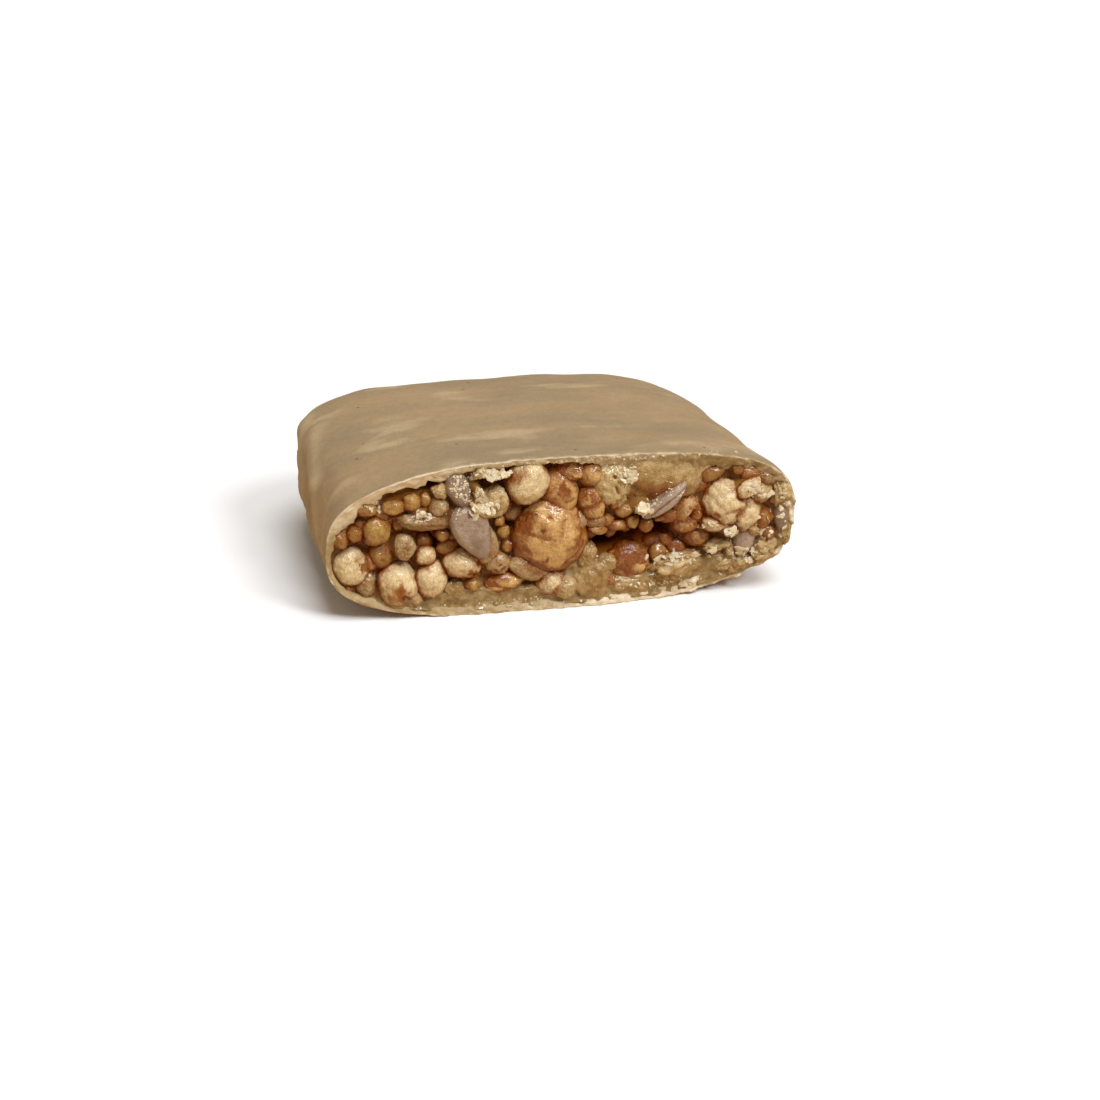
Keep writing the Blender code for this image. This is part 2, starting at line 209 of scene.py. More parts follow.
WHITE_PUFFS = (
    ("white_main", 14.6, 9.8, -0.7, 4.9, 5.1, 4.2, 0, 0.25,
     ((0.34, 0.46, 0.46, 0.36, 0.06, -0.16, 1.5), (-0.20, -0.16, 0.40, -0.06, 0.06, -0.05, 0.5),
      (-0.55, -0.20, -0.45, -0.22, 0.07, -0.06, 0.9), (-0.2, 0.35, 0.1, 0.2, 0.34, 0.07, -0.3),
      (-0.1, -0.55, 0.3, -0.6, 0.3, 0.06, -0.2))),
    ("white_lobe", 16.6, 8.6, -0.5, 3.6, 3.8, 3.2, 0, 0.0, ((-0.1, -0.1, 0.4, 0.2, 0.08, -0.04),)),
    ("white_foot", 14.0, 7.8, -0.5, 3.2, 1.9, 2.4, 0, 0.05, ((0.0, 0.3, 0.3, 0.2, 0.1, -0.1),)),
    ("white_flap", 17.0, 11.0, -0.6, 2.9, 1.7, 1.5, -32, 0.0, ((-0.2, 0.0, 0.3, 0.1, 0.1, -0.1),)),
)

CARAMEL_PUFFS = (
    ("big", -1.7, 7.6, -1.0, 7.6, 7.6, 4.8, 0, 0.22,
     ((0.34, -0.22, 0.56, -0.10, 0.17, -0.02, 0.75), (-0.80, 0.30, -0.66, 0.52, 0.14, -0.01, 0.8),
      (0.40, -0.78, 0.88, -0.36, 0.20, 0.0, 0.7), (0.22, -0.66, 0.80, -0.14, 0.035, -0.03, 0.8),
      (-0.22, -0.46, -0.20, -0.38, 0.05, -0.01, 1.5), (-0.70, -0.16, -0.64, -0.26, 0.08, -0.01, 1.0),
      (-0.66, 0.24, -0.1, 0.10, 0.07, -0.03, 0.6), (0.12, 0.18, 0.20, 0.55, 0.08, -0.03, 0.5),
      (-0.6, -0.55, 0.1, -0.88, 0.13, 0.0, 0.6), (-0.3, -0.25, 0.1, -0.35, 0.34, 0.0, -0.5),
      (-0.34, 0.56, -0.12, 0.40, 0.20, 0.16, -0.1), (0.32, 0.14, 0.36, -0.02, 0.15, 0.11, -0.5),
      (-0.12, 0.62, -0.10, 0.62, 0.06, -0.03, 0.8), (-0.36, 0.34, -0.30, 0.34, 0.05, -0.03, 0.7),
      (0.62, 0.30, 0.80, 0.10, 0.12, 0.0, 0.5), (-0.88, -0.2, -0.62, 0.66, 0.12, 0.0, 0.5))),
    ("top", -1.0, 11.8, 0.1, 4.0, 5.2, 3.4, -5, 0.34,
     ((0.20, -0.52, 0.50, -0.36, 0.28, 0.06, -0.7), (-0.02, 0.30, 0.26, 0.08, 0.15, -0.08, 0.9),
      (-0.7, 0.1, -0.5, -0.5, 0.20, 0.0, 0.4), (0.10, -0.2, 0.5, -0.15, 0.06, -0.02, 0.6),
      (-0.1, -0.85, 0.4, -0.8, 0.16, 0.0, 0.5))),
    ("top_lobe", 0.3, 13.8, 0.4, 3.8, 2.2, 2.6, 3, 0.74, ((0.2, -0.1, 0.6, 0.0, 0.25, 0.08, -0.6),)),
    ("top_arm", 2.0, 13.2, 0.0, 2.5, 2.3, 2.0, 10, 0.74, ((-0.1, 0.3, 0.2, 0.2, 0.3, 0.05, -0.5),)),
    ("peanut", 2.1, 10.5, -0.1, 2.6, 3.9, 2.5, -15, 0.30,
     ((-0.85, -0.02, 0.85, 0.10, 0.13, -0.12, 0.5), (0.0, 0.5, 0.05, 0.45, 0.22, -0.05, 0.4),
      (-0.5, 0.6, -0.3, 0.8, 0.16, 0.0, 0.7), (0.1, -0.5, 0.3, -0.5, 0.3, 0.04, -0.4),
      (0.1, -0.6, 0.12, -0.62, 0.07, -0.03, 1.0), (0.4, -0.4, 0.42, -0.42, 0.06, -0.03, 1.0))),
    ("dark_low", 5.7, 4.5, 0.0, 4.4, 4.2, 3.6, 0, 0.82,
     ((0.34, -0.05, 0.66, -0.28, 0.22, 0.06, -1.1), (-0.15, 0.30, 0.20, 0.22, 0.30, -0.03, 0.6),
      (0.62, -0.38, 0.70, -0.16, 0.08, -0.05, 1.4), (0.36, 0.06, 0.66, 0.10, 0.05, -0.04, 1.0),
      (-0.55, -0.35, -0.2, -0.72, 0.22, 0.0, -0.35), (-0.2, -0.2, 0.2, -0.3, 0.12, 0.0, 0.5))),
    ("shard", -5.9, 3.2, 0.0, 3.9, 2.2, 2.0, -9, 0.60,
     ((0.20, 0.0, 0.60, 0.1, 0.3, 0.10, -0.6), (-0.7, 0.3, 0.2, -0.5, 0.12, -0.04, 0.8),
      (-0.55, -0.1, -0.4, -0.15, 0.14, 0.05, -0.8))),
    ("amber_deep", 12.2, 6.6, 0.5, 2.8, 2.2, 2.2, 5, 0.55, ()),
)

GLAZED_BEADS = (
    ("left_end_a", -20.8, 8.5, 0.2, 1.7, 1.7, 1.6, 0, 0.55, ()),
    ("left_end_b", -19.4, 9.0, 0.3, 1.7, 1.7, 1.6, 0, 0.60, ()),
    ("tan_ball", -17.6, 9.3, -0.2, 2.7, 2.8, 2.7, 0, 0.30, ((0.3, 0.1, 0.35, 0.05, 0.2, 0.06),)),
    ("dark_tan_ball", -17.2, 6.7, 0.3, 2.6, 2.7, 2.4, 0, 0.55, ((0.0, -0.1, 0.05, -0.15, 0.12, -0.10),)),
    ("under_rim_a", -18.4, 11.4, 0.2, 1.9, 1.4, 1.5, 0, 0.50, ()),
    ("under_rim_b", -16.0, 11.4, 0.1, 2.3, 1.5, 1.5, 0, 0.35, ()),
    ("under_rim_c", -14.4, 11.7, 0.1, 1.8, 1.8, 1.4, 0, 0.20, ()),
    ("under_rim_d", -13.2, 11.9, 0.3, 1.2, 1.5, 1.2, 0, 0.45, ()),
    ("beside_tan_ball", -15.6, 9.9, 0.8, 1.7, 1.8, 1.6, 0, 0.60, ()),
    ("under_fragment_a", -11.6, 8.3, 0.2, 1.4, 1.4, 1.4, 0, 0.40, ()),
    ("under_fragment_b", -11.1, 7.1, 0.4, 2.2, 1.9, 1.8, 0, 0.60, ()),
    ("beside_kernel_a", -6.4, 9.3, 0.2, 1.1, 1.2, 1.1, 0, 0.35, ()),
    ("beside_kernel_b", -6.0, 8.2, 0.1, 1.2, 1.4, 1.2, -10, 0.20, ()),
    ("beside_kernel_c", -5.6, 6.8, 0.5, 1.5, 1.5, 1.4, 0, 0.45, ()),
    ("under_flakes", -6.1, 10.9, 0.9, 2.2, 1.9, 1.8, 0, 0.55, ()),
    ("low_small", -8.8, 3.1, 0.0, 1.6, 1.3, 1.3, 0, 0.40, ()),
    ("left_amber", -20.3, 3.5, 0.3, 1.5, 1.4, 1.3, 0, 0.85, ()),
    ("beside_caramel_a", 4.3, 10.4, 0.2, 1.4, 1.4, 1.4, 0, 0.30, ()),
    ("row_a", 5.2, 9.6, 0.0, 2.0, 1.4, 1.5, -5, 0.35, ()),
    ("row_b", 6.0, 8.4, 0.0, 1.4, 1.5, 1.4, 0, 0.35, ()),
    ("row_c", 4.7, 8.1, 0.1, 1.9, 1.1, 1.3, 0, 0.45, ()),
    ("row_d", 7.3, 8.0, 0.0, 1.5, 1.5, 1.5, 0, 0.65, ()),
    ("row_e", 2.8, 7.8, 0.2, 2.0, 1.0, 1.2, 5, 0.35, ()),
    ("row_f", 3.6, 8.7, 0.3, 1.6, 1.3, 1.4, -20, 0.35, ()),
    ("splinter", 8.9, 8.6, 0.5, 1.9, 0.7, 1.0, -8, 0.45, ()),
    ("under_ridge", 9.8, 8.8, 0.3, 2.4, 1.3, 1.4, -20, 0.50, ()),
    ("low_row_a", 4.2, 2.6, 0.1, 1.4, 1.4, 1.4, 0, 0.45, ()),
    ("low_row_b", 8.6, 5.1, 0.6, 1.9, 1.9, 1.8, 0, 0.50, ()),
    ("low_row_c", 10.3, 5.4, 0.9, 2.2, 2.1, 1.9, 0, 0.60, ()),
    ("right_amber_a", 18.6, 7.9, 0.0, 2.2, 2.1, 2.0, 0, 0.75, ()),
    ("right_amber_b", 19.3, 6.4, 0.1, 1.5, 1.6, 1.4, 0, 0.70, ()),
    ("right_amber_c", 17.0, 12.5, 0.2, 2.2, 1.8, 1.8, 0, 0.65, ()),
    ("right_amber_d", 15.9, 13.0, 0.3, 1.3, 1.3, 1.2, 0, 0.75, ()),
    ("pinkish", 13.2, 12.9, 0.5, 2.9, 2.1, 2.2, -8, 0.45, ()),
    ("curl_heart", 14.3, 4.6, 0.6, 2.2, 1.8, 1.6, 0, 0.65, ()),
)

GLASSY_GRAINS = (
    ("cross", -15.0, 7.4, -0.3, 2.1, 2.7, 2.1, 0, 0.20,
     ((0.0, 0.0, 0.05, 0.0, 0.42, -0.10), (-0.20, 0.14, 0.24, -0.12, 0.08, -0.07),
      (-0.12, -0.20, 0.16, 0.22, 0.09, 0.05))),
    ("left_low", -18.5, 3.9, 0.2, 1.9, 2.7, 1.8, 0, 0.50, ()),
    ("bottom", -14.2, 2.2, -0.2, 1.8, 1.6, 1.6, 20, 0.20, ()),
    ("fragment", -13.2, 9.7, -0.2, 5.0, 1.8, 1.7, 8, 0.72,
     ((-0.6, 0.1, -0.3, 0.1, 0.24, 0.12, -0.6), (0.1, -0.2, 0.6, -0.1, 0.1, -0.08, 0.6))),
    ("pink_blob", -12.0, 11.2, 0.1, 2.1, 2.4, 1.9, 0, 0.45, ((0.1, 0.3, 0.3, 0.0, 0.2, 0.10),)),
    ("kernel_side", -7.9, 7.2, -0.1, 2.9, 4.7, 1.8, -27, 0.35, ((0.1, 0.3, 0.1, -0.3, 0.25, -0.06),)),
    ("flat", -3.5, 4.4, -0.2, 4.1, 2.4, 1.9, 20, 0.22, ((-0.3, 0.1, 0.3, -0.1, 0.3, -0.06),)),
    ("pitted", -6.5, 5.1, -0.1, 2.4, 2.3, 2.0, 0, 0.30,
     ((0.2, -0.4, 0.5, -0.2, 0.10, -0.25), (0.0, 0.1, 0.1, 0.15, 0.10, -0.15),
      (-0.4, -0.3, -0.2, -0.5, 0.10, -0.18))),
    ("grey_a", 0.9, 8.8, 0.2, 1.8, 2.3, 1.8, 15, 0.40, ()),
    ("grey_b", 2.6, 8.7, 0.2, 2.3, 1.5, 1.6, 5, 0.50, ()),
    ("low_bead", -0.2, 2.2, -0.5, 2.5, 2.4, 2.2, 0, 0.0, ((0.1, 0.0, 0.3, -0.1, 0.5, -0.05),)),
    ("whitish_right", 18.2, 10.6, 0.0, 2.3, 2.4, 2.0, 0, 0.10, ()),
    ("top_right", 18.6, 12.0, 0.2, 2.2, 1.6, 1.6, 20, 0.55, ()),
    ("grey_right", 17.0, 10.0, 0.6, 2.0, 2.2, 1.8, 0, 0.40, ()),
    ("under_top", -5.3, 10.2, 1.0, 2.4, 2.0, 1.8, 0, 0.50, ()),
)

SEEDS = (
    ("kernel", -8.8, 8.3, -1.0, 4.2, 5.7, 1.9, -25, 0.45,
     ((0.62, 0.45, 0.70, 0.35, 0.25, 0.14), (-0.65, 0.20, -0.60, 0.10, 0.3, 0.06),
      (-0.3, -0.25, -0.1, -0.55, 0.22, -0.04))),
    ("upper", -10.1, 12.4, -0.3, 2.7, 3.8, 2.1, -24, 0.60, ((0.0, 0.2, 0.1, -0.3, 0.4, 0.05),)),
    ("ridge", 9.1, 10.2, -0.4, 6.6, 1.5, 1.8, -36, 0.30, ((-0.6, 0.1, 0.7, 0.1, 0.12, -0.12),)),
    ("right_end", 20.4, 7.7, 0.0, 1.9, 2.6, 1.6, 0, 0.75, ()),
    ("right_low", 16.8, 5.8, 0.1, 2.9, 3.4, 2.2, 12, 0.30, ((0.2, 0.1, 0.3, -0.4, 0.25, 0.08),)),
)

CREAM_LUMPS = (
    ("crumb_ridge", 10.6, 3.4, -0.3, 5.4, 3.0, 2.2, -14, 0.80,
     ((-0.5, 0.3, -0.4, 0.1, 0.14, 0.18), (0.0, 0.3, 0.1, 0.3, 0.16, 0.18), (0.5, 0.3, 0.6, 0.2, 0.2, 0.12))),
    ("curl", 14.4, 5.4, 0.0, 2.9, 1.3, 1.6, -6, 0.25, ((-0.4, 0.1, 0.4, 0.1, 0.2, 0.16),)),
    ("curl_end", 15.7, 4.8, 0.1, 0.9, 1.9, 1.2, -10, 0.20, ()),
    ("pale_flake", -11.8, 12.6, 0.0, 1.5, 1.4, 1.0, 20, 0.35, ()),
    ("right_low_a", 19.1, 4.9, -0.1, 2.9, 3.0, 2.2, 0, 0.35, ()),
    ("right_low_b", 17.0, 3.3, -0.1, 3.0, 2.2, 2.0, -20, 0.45, ()),
    ("right_side", 20.3, 10.4, 0.1, 2.2, 3.0, 2.0, 5, 0.30, ()),
    ("right_edge", 21.1, 6.6, 0.2, 1.6, 3.2, 1.6, 0, 0.45, ()),
    ("right_mid", 17.9, 7.1, 0.1, 2.4, 1.9, 1.8, 0, 0.45, ()),
    ("right_under", 15.2, 3.4, 0.1, 2.8, 1.5, 1.6, -10, 0.35, ()),
    ("flake_by_kernel", -8.2, 11.8, -0.8, 0.9, 1.7, 0.6, -18, 0.0, ()),
    ("flake_on_kernel", -8.0, 10.4, -1.1, 2.4, 1.0, 0.6, 32, 0.0, ()),
    ("flake_top_a", -8.2, 14.0, -0.1, 1.5, 0.8, 0.6, -50, 0.0, ()),
    ("flake_top_b", -6.6, 13.8, -0.1, 2.5, 0.7, 0.6, 8, 0.05, ()),
    ("flake_left", -13.5, 10.4, -0.4, 1.0, 0.6, 0.5, -10, 0.05, ()),
    ("flake_by_mass", 5.8, 12.8, -0.3, 1.4, 1.2, 0.6, 20, 0.0, ()),
    ("flake_on_ridge", 7.0, 9.5, -0.7, 1.5, 1.1, 0.7, -10, 0.0, ()),
    ("flake_low_right", 15.7, 6.6, -0.5, 1.4, 0.9, 0.6, 0, 0.05, ()),
)

BINDER_SLABS = (
    ("yellow", 9.2, 13.2, 0.4, 10.0, 7.0, 2.6, -8, 0.50,
     ((-0.45, -0.35, -0.05, -0.45, 0.34, -0.06, 0.9), (0.3, 0.1, 0.5, 0.3, 0.3, 0.04, -0.4))),
    ("mass", 3.9, 12.5, -0.1, 3.6, 4.1, 2.8, 0, 0.10,
     ((-0.1, 0.45, 0.0, 0.40, 0.06, -0.22, 1.3), (0.05, -0.1, 0.15, -0.35, 0.07, -0.25, 1.0),
      (0.45, 0.2, 0.5, -0.3, 0.3, 0.12, -0.3))),
    ("mass_low", 4.5, 10.9, 0.2, 1.8, 1.9, 1.6, 0, 0.50, ()),
    ("left_lump", -7.0, 11.2, -0.2, 2.9, 3.0, 2.4, 10, 0.40,
     ((-0.2, 0.2, -0.1, -0.2, 0.4, 0.06, 0.1), (0.2, 0.5, 0.3, -0.4, 0.08, -0.10, 0.6))),
    ("low", 2.4, 3.0, -0.1, 3.9, 4.4, 2.8, 8, 0.72,
     ((-0.2, 0.5, 0.1, 0.3, 0.12, -0.10), (0.1, -0.4, 0.3, -0.2, 0.16, -0.08))),
    ("low_horn", 1.9, 5.3, 0.1, 1.7, 2.6, 1.8, 12, 0.80, ((0.0, 0.2, 0.1, -0.3, 0.3, 0.06, -0.2),)),
    ("low_side", 3.7, 4.4, 0.2, 2.2, 1.7, 1.8, -25, 0.80, ()),
    ("patch_low", -10.4, 2.6, 0.3, 2.6, 2.3, 1.6, 0, 0.85, ()),
    ("bottom_lump", 6.2, 2.2, 0.0, 4.6, 2.4, 2.0, 8, 0.60, ()),
)

# All tables of named grains
GRAIN_TABLES = (
    PALE_PUFFS, WHITE_PUFFS, CARAMEL_PUFFS, GLAZED_BEADS, GLASSY_GRAINS, SEEDS, CREAM_LUMPS, BINDER_SLABS)

# Pieces made of grains: how finely a grain is divided, its large, small and fine unevenness as shares of
# its radius, and the number of the first grain, from which the unevenness is drawn
GRAIN_PIECES = {
    "pale_puffs": (5, (0.08, 0.045, 0.04), 10),
    "white_puff": (5, (0.11, 0.08, 0.05), 22),
    "caramel_puffs": (5, (0.06, 0.035, 0.02), 40),
    "glazed_beads": (4, (0.18, 0.07, 0.04), 70),
    "fine_beads": (3, (0.24, 0.09, 0.0), 120),
    "seed_kernels": (5, (0.06, 0.03, 0.015), 330),
    "glassy_grains": (5, (0.12, 0.06, 0.04), 350),
    "cream_lumps": (5, (0.34, 0.16, 0.12), 380),
    "binder_slabs": (5, (0.20, 0.10, 0.05), 430),
}

# Large caramel puffs: size across times size up above which they are large, in square mm, and how finely
# they are divided
LARGE_GRAIN = 9
LARGE_GRAIN_DETAIL = 6

# Finishes of the grains: pale and dark colour, mottle, syrup with painted shade, roughness, coat, subsurface,
# grain, streaks
GRAIN_FINISHES = {
    "pale_puff": ("puff", "puff_dark", 1.9, 0.90, 0.40, 0.35, 0.35, 0.22, 0.16),
    "caramel_puff": ("caramel", "caramel_dark", 2.9, 0.80, 0.28, 0.60, 0.30, 0.50, 0.12),
    "glazed_bead": ("bead", "bead_dark", 1.9, 0.90, 0.30, 0.60, 0.45, 0.45, 0.10),
    "grey_seed": ("seed", "seed_dark", 1.6, 0.30, 0.30, 0.45, 0.15, 0.20, 0.0),
    "glassy_grain": ("glassy", "glassy_dark", 1.9, 0.60, 0.25, 0.60, 0.45, 0.45, 0.14),
    "cream_lump": ("cream", "cream_dark", 1.6, 0.40, 0.45, 0.25, 0.20, 0.50, 0.0),
    "yellow_binder": ("cream", "cream_dark", 2.2, 0.15, 0.30, 0.45, 0.35, 0.45, 0.10),
}

# Seeds: how much narrower they get towards their lower end, as a share of their width
SEED_NARROWING = 0.5

# How flat the fronts of seeds and of binder slabs are: 2 is round, more is flatter
SEED_FLATNESS = 3.2
SLAB_FLATNESS = 2.8

# How far inside the bar's outline the grains stay
GRAIN_INSET = 0.16 * MM

# Coating: least thickness at the break, how much of the flank's folds shows, how far the flank is drawn in
THINNEST_RIM = 0.52 * MM
FOLD_SHARE = 0.7
FLANK_INSET = 0.20 * MM

# Rings of points along the side and round the end of the coating's inner and outer skins, across its
# broken lip and to the middle of its ends, and the same for the filling's body
INNER_RINGS = (16, 14)
OUTER_RINGS = (70, 44)
LIP_RINGS = 8
CAP_RINGS = 5
CORE_RINGS = (10, 8)
CORE_CAP_RINGS = 4

# Syrup: how softly it joins the grains, how far behind their fronts it lies, and a hollow's depth
SYRUP_BLEND = 0.45 * MM
SYRUP_STEP = 0.50 * MM
HOLLOW_DEPTH = 4.5 * MM

# Fine beads: size of the first and how much smaller the last is, in mm, how many places are tried, how
# close they lie to others, how far from the outline in mm, and how far into a hollow
BEAD_SIZE = 1.9
BEAD_SHRINK = 1.1
BEAD_TRIES = 9000
BEAD_ROOM = 0.62
BEAD_MARGIN = 0.9
BEAD_HOLLOW_LIMIT = 0.20

# Crumbs: size in mm above which they are thin flakes, how deep in the break and how low they may lie
FLAKE_SIZE = 0.7
CRUMB_DEEPEST = 6 * MM
CRUMB_LOWEST = 0.3 * MM

# Crumbs and flakes: name, middle x and z and spread in x and z in mm, how many, and their size in mm
CRUMB_PATCHES = (
    ("upper_seed", -9.9, 13.0, 1.0, 1.1, 60, 0.26),
    ("upper_seed_low", -9.6, 11.7, 0.8, 0.7, 24, 0.26),
    ("kernel_corner", -10.2, 10.3, 0.8, 0.6, 14, 0.26),
    ("by_kernel", -7.8, 10.6, 1.1, 0.5, 30, 0.50),
    ("by_kernel_flakes", -7.9, 10.5, 1.3, 0.5, 10, 0.95),
    ("by_kernel_up", -8.2, 11.8, 0.3, 0.9, 8, 0.85),
    ("under_rim_top", -7.2, 13.9, 1.6, 0.35, 20, 0.45),
    ("under_rim_flakes", -7.0, 13.9, 1.8, 0.3, 9, 0.90),
    ("fragment", -13.6, 10.2, 1.2, 0.4, 14, 0.34),
    ("fragment_flake", -13.5, 10.4, 0.5, 0.2, 4, 0.75),
    ("rim_flake", -17.6, 11.3, 0.5, 0.2, 3, 0.80),
    ("mass_side", 5.6, 12.9, 1.0, 0.9, 24, 0.45),
    ("mass_flakes", 5.8, 12.9, 0.9, 0.8, 9, 0.80),
    ("mass", 3.8, 13.6, 1.4, 0.8, 20, 0.34),
    ("ridge", 7.6, 9.8, 1.4, 0.6, 40, 0.36),
    ("ridge_flakes", 7.0, 9.5, 0.9, 0.4, 8, 0.90),
    ("ridge_up", 10.0, 11.0, 1.8, 0.8, 16, 0.26),
    ("white_puff_foot", 13.2, 7.4, 0.9, 0.4, 14, 0.50),
    ("white_puff_flap", 17.6, 10.8, 1.0, 0.8, 16, 0.60),
    ("right_end", 20.6, 9.6, 1.0, 2.6, 20, 0.46),
    ("right_end_flakes", 19.8, 8.0, 1.5, 3.6, 12, 0.75),
    ("low_right_flakes", 15.7, 6.7, 0.6, 0.3, 4, 0.90),
    ("crumb_ridge", 11.9, 4.2, 2.4, 0.8, 26, 0.36),
    ("crumb_ridge_flakes", 11.4, 4.2, 2.6, 0.8, 14, 0.80),
    ("lower_right", 9.6, 1.7, 4.5, 0.5, 34, 0.34),
    ("lower_far_right", 17.4, 4.2, 2.6, 1.4, 22, 0.50),
    ("lower_far_right_flakes", 17.8, 3.8, 2.8, 1.2, 12, 0.80),
    ("top_rim", 3.0, 14.6, 11.0, 0.22, 130, 0.28),
    ("top_rim_left", -9.6, 14.0, 2.4, 0.2, 30, 0.28),
    ("left_rim", -18.4, 11.6, 1.2, 0.5, 8, 0.24),
    ("bottom", -5.0, 1.1, 8.0, 0.25, 26, 0.20),
)

COLOUR_LIMIT = {"size": 3, "subtype": "COLOR", "min": 0.0, "max": 1.0}


def signed_power(value, power):
    return math.copysign(abs(value) ** power, value)


def clamp(value):
    return min(max(value, 0.0), 1.0)


def smooth(value):
    """Soft step from 0 to 1 as the value goes from 0 to 1."""
    value = clamp(value)
    return value * value * (3 - 2 * value)


def quarter_power(x_side, above, back):
    """How square the outline is in one of its four quarters, back being 0 at the break, 1 at the end."""
    if not above:
        return UNDER_LEFT_POWER if x_side < 0 else UNDER_RIGHT_POWER
    if x_side < 0:
        return TOP_LEFT_POWER + (TOP_LEFT_POWER_AT_END - TOP_LEFT_POWER) * back
    return TOP_RIGHT_POWER


def section_point(angle, back, inset):
    """Point (x, z) of the cross-section, with the outline moved in by inset."""
    cosine = math.cos(angle)
    sine = math.sin(angle)
    above = sine >= 0
    power = quarter_power(cosine, above, back)
    x = (WIDTH / 2 - inset) * signed_power(cosine, 2 / power)
    if above:
        z = WIDEST + (HEIGHT - WIDEST - inset) * abs(sine) ** (2 / power)
    else:
        z = WIDEST - (WIDEST * UNDERSIDE_CUT - inset) * abs(sine) ** (2 / power)
    return x, max(z, inset)


def break_offset(x, z):
    """How far the break line lies behind the straight cut at (x, z)."""
    left = clamp(-x / (WIDTH / 2))
    right = clamp(x / (WIDTH / 2) - BITE_START)
    high = clamp((z - WIDEST) / (HEIGHT - WIDEST))
    low = clamp((WIDEST - z) / WIDEST)
    return BREAK_SLANT * x - LIP * left ** LIP_POWER * high + BITE * right * low


def surface_point(angle, along, inset, start):
    """Point on the bar's skin moved in by inset; along is 0 at start behind the break, 1 at the end."""
    length = LENGTH - inset
    distance = start + (length - start) * along
    back = distance / length
    x, z = section_point(angle, back, inset)
    y = BREAK_Y + distance + break_offset(x, z) * (1 - back)
    rounding = clamp((distance - (length - END_ROUNDING)) / END_ROUNDING)
    across = (1 - rounding ** END_POWER) ** (1 / END_POWER)
    upright = (1 - (rounding * END_FLATTENING) ** END_POWER) ** (1 / END_POWER)
    x *= across * (1 - END_TAPER * back ** 2)
    z = max(WIDEST + (z - WIDEST) * upright, inset)
    return Vector((x, y, z))


def even_angles(count):
    """Angles that part the outline of the break into equal lengths, the first one again at the end."""
    steps = 20 * count
    turns = [2 * math.pi * i / steps for i in range(steps + 1)]
    points = [Vector(section_point(turn, 0.0, 0.0)) for turn in turns]
    walked = [0.0]
    for first, second in zip(points, points[1:]):
        walked.append(walked[-1] + (second - first).length)
    chosen = []
    for i in range(count):
        place = bisect.bisect_left(walked, walked[-1] * i / count)
        chosen.append(turns[place])
    return chosen + [0.0]


def stations(side_rings, end_rings, inset):
    """Places along the bar from the break: even along the side, then crowded towards the rounded end."""
    side = 1 - END_ROUNDING / (LENGTH - inset)
    places = [side * i / side_rings for i in range(side_rings)]
    for i in range(end_rings):
        places.append(side + (1 - side) * math.sin(END_TURN * i / (end_rings - 1)))
    return places


def skin_point(angle, along, cap, inset):
    """Point on a skin of the bar; beyond the last ring, cap goes from 0 there to 1 in the end's middle."""
    point = surface_point(angle, along, inset, 0.0)
    if cap > 0:
        top = surface_point(math.pi / 2, along, inset, 0.0)
        bottom = surface_point(-math.pi / 2, along, inset, 0.0)
        tip = (top + bottom) / 2
        tip.y = BREAK_Y + LENGTH - inset
        bulge = (tip.y - point.y) * (1 - (1 - cap) ** 2)
        across = (tip.x - point.x) * cap
        rise = (tip.z - point.z) * cap
        point = Vector((point.x + across, point.y + bulge, point.z + rise))
    return point


def camera_axes():
    """Camera's right, up and backward directions."""
    back = Vector((math.sin(CAMERA_TURN) * math.cos(CAMERA_RISE),
                   -math.cos(CAMERA_TURN) * math.cos(CAMERA_RISE),
                   math.sin(CAMERA_RISE)))
    right = Vector((math.cos(CAMERA_TURN), math.sin(CAMERA_TURN), 0))
    up = back.cross(right)
    rolled_right = right * math.cos(CAMERA_ROLL) + up * math.sin(CAMERA_ROLL)
    rolled_up = up * math.cos(CAMERA_ROLL) - right * math.sin(CAMERA_ROLL)
    return rolled_right, rolled_up, back


def camera_place():
    return Vector((0, BREAK_Y, HEIGHT / 2)) + camera_axes()[2] * CAMERA_DISTANCE


def behind_break(x, z, depth):
    """Point that lies depth behind the break and shows at (x, z) of the break, in metres."""
    seen = Vector((x, BREAK_Y + break_offset(x, z), z))
    sight = (seen - camera_place()).normalized()
    return seen + sight * (depth / sight.y)


def hold_inside(point, inset):
    """Pull a point that lies outside the bar's outline, moved in by inset, back onto it."""
    back = clamp((point.y - BREAK_Y) / LENGTH)
    low_side = point.z < WIDEST
    height = (WIDEST * UNDERSIDE_CUT if low_side else HEIGHT - WIDEST) - inset
    across = abs(point.x) / ((WIDTH / 2 - inset) * (1 - END_TAPER * back ** 2))
    up = abs(point.z - WIDEST) / height
    power = quarter_power(point.x, not low_side, back)
    reach = (across ** power + up ** power) ** (1 / power)
    if reach > 1:
        point.x /= reach
        point.z = WIDEST + (point.z - WIDEST) / reach
    point.z = max(point.z, inset)
    return point


def gap_to_line(x, z, line):
    """Distance from (x, z) to the line between two points, given as x, z, x, z."""
    x1, z1, x2, z2 = line
    run = Vector((x2 - x1, z2 - z1))
    away = Vector((x - x1, z - z1))
    share = clamp(away.dot(run) / max(run.length_squared, 1e-12))
    return (away - run * share).length


def hollow(x, z):
    """1 in the middle of a hollow between the grains, 0 away from it."""
    deepest = 0.0
    for _, middle_x, middle_z, reach_x, reach_z in HOLLOWS:
        away = ((x / MM - middle_x) / reach_x) ** 2 + ((z / MM - middle_z) / reach_z) ** 2
        deepest = max(deepest, math.exp(-away))
    return deepest


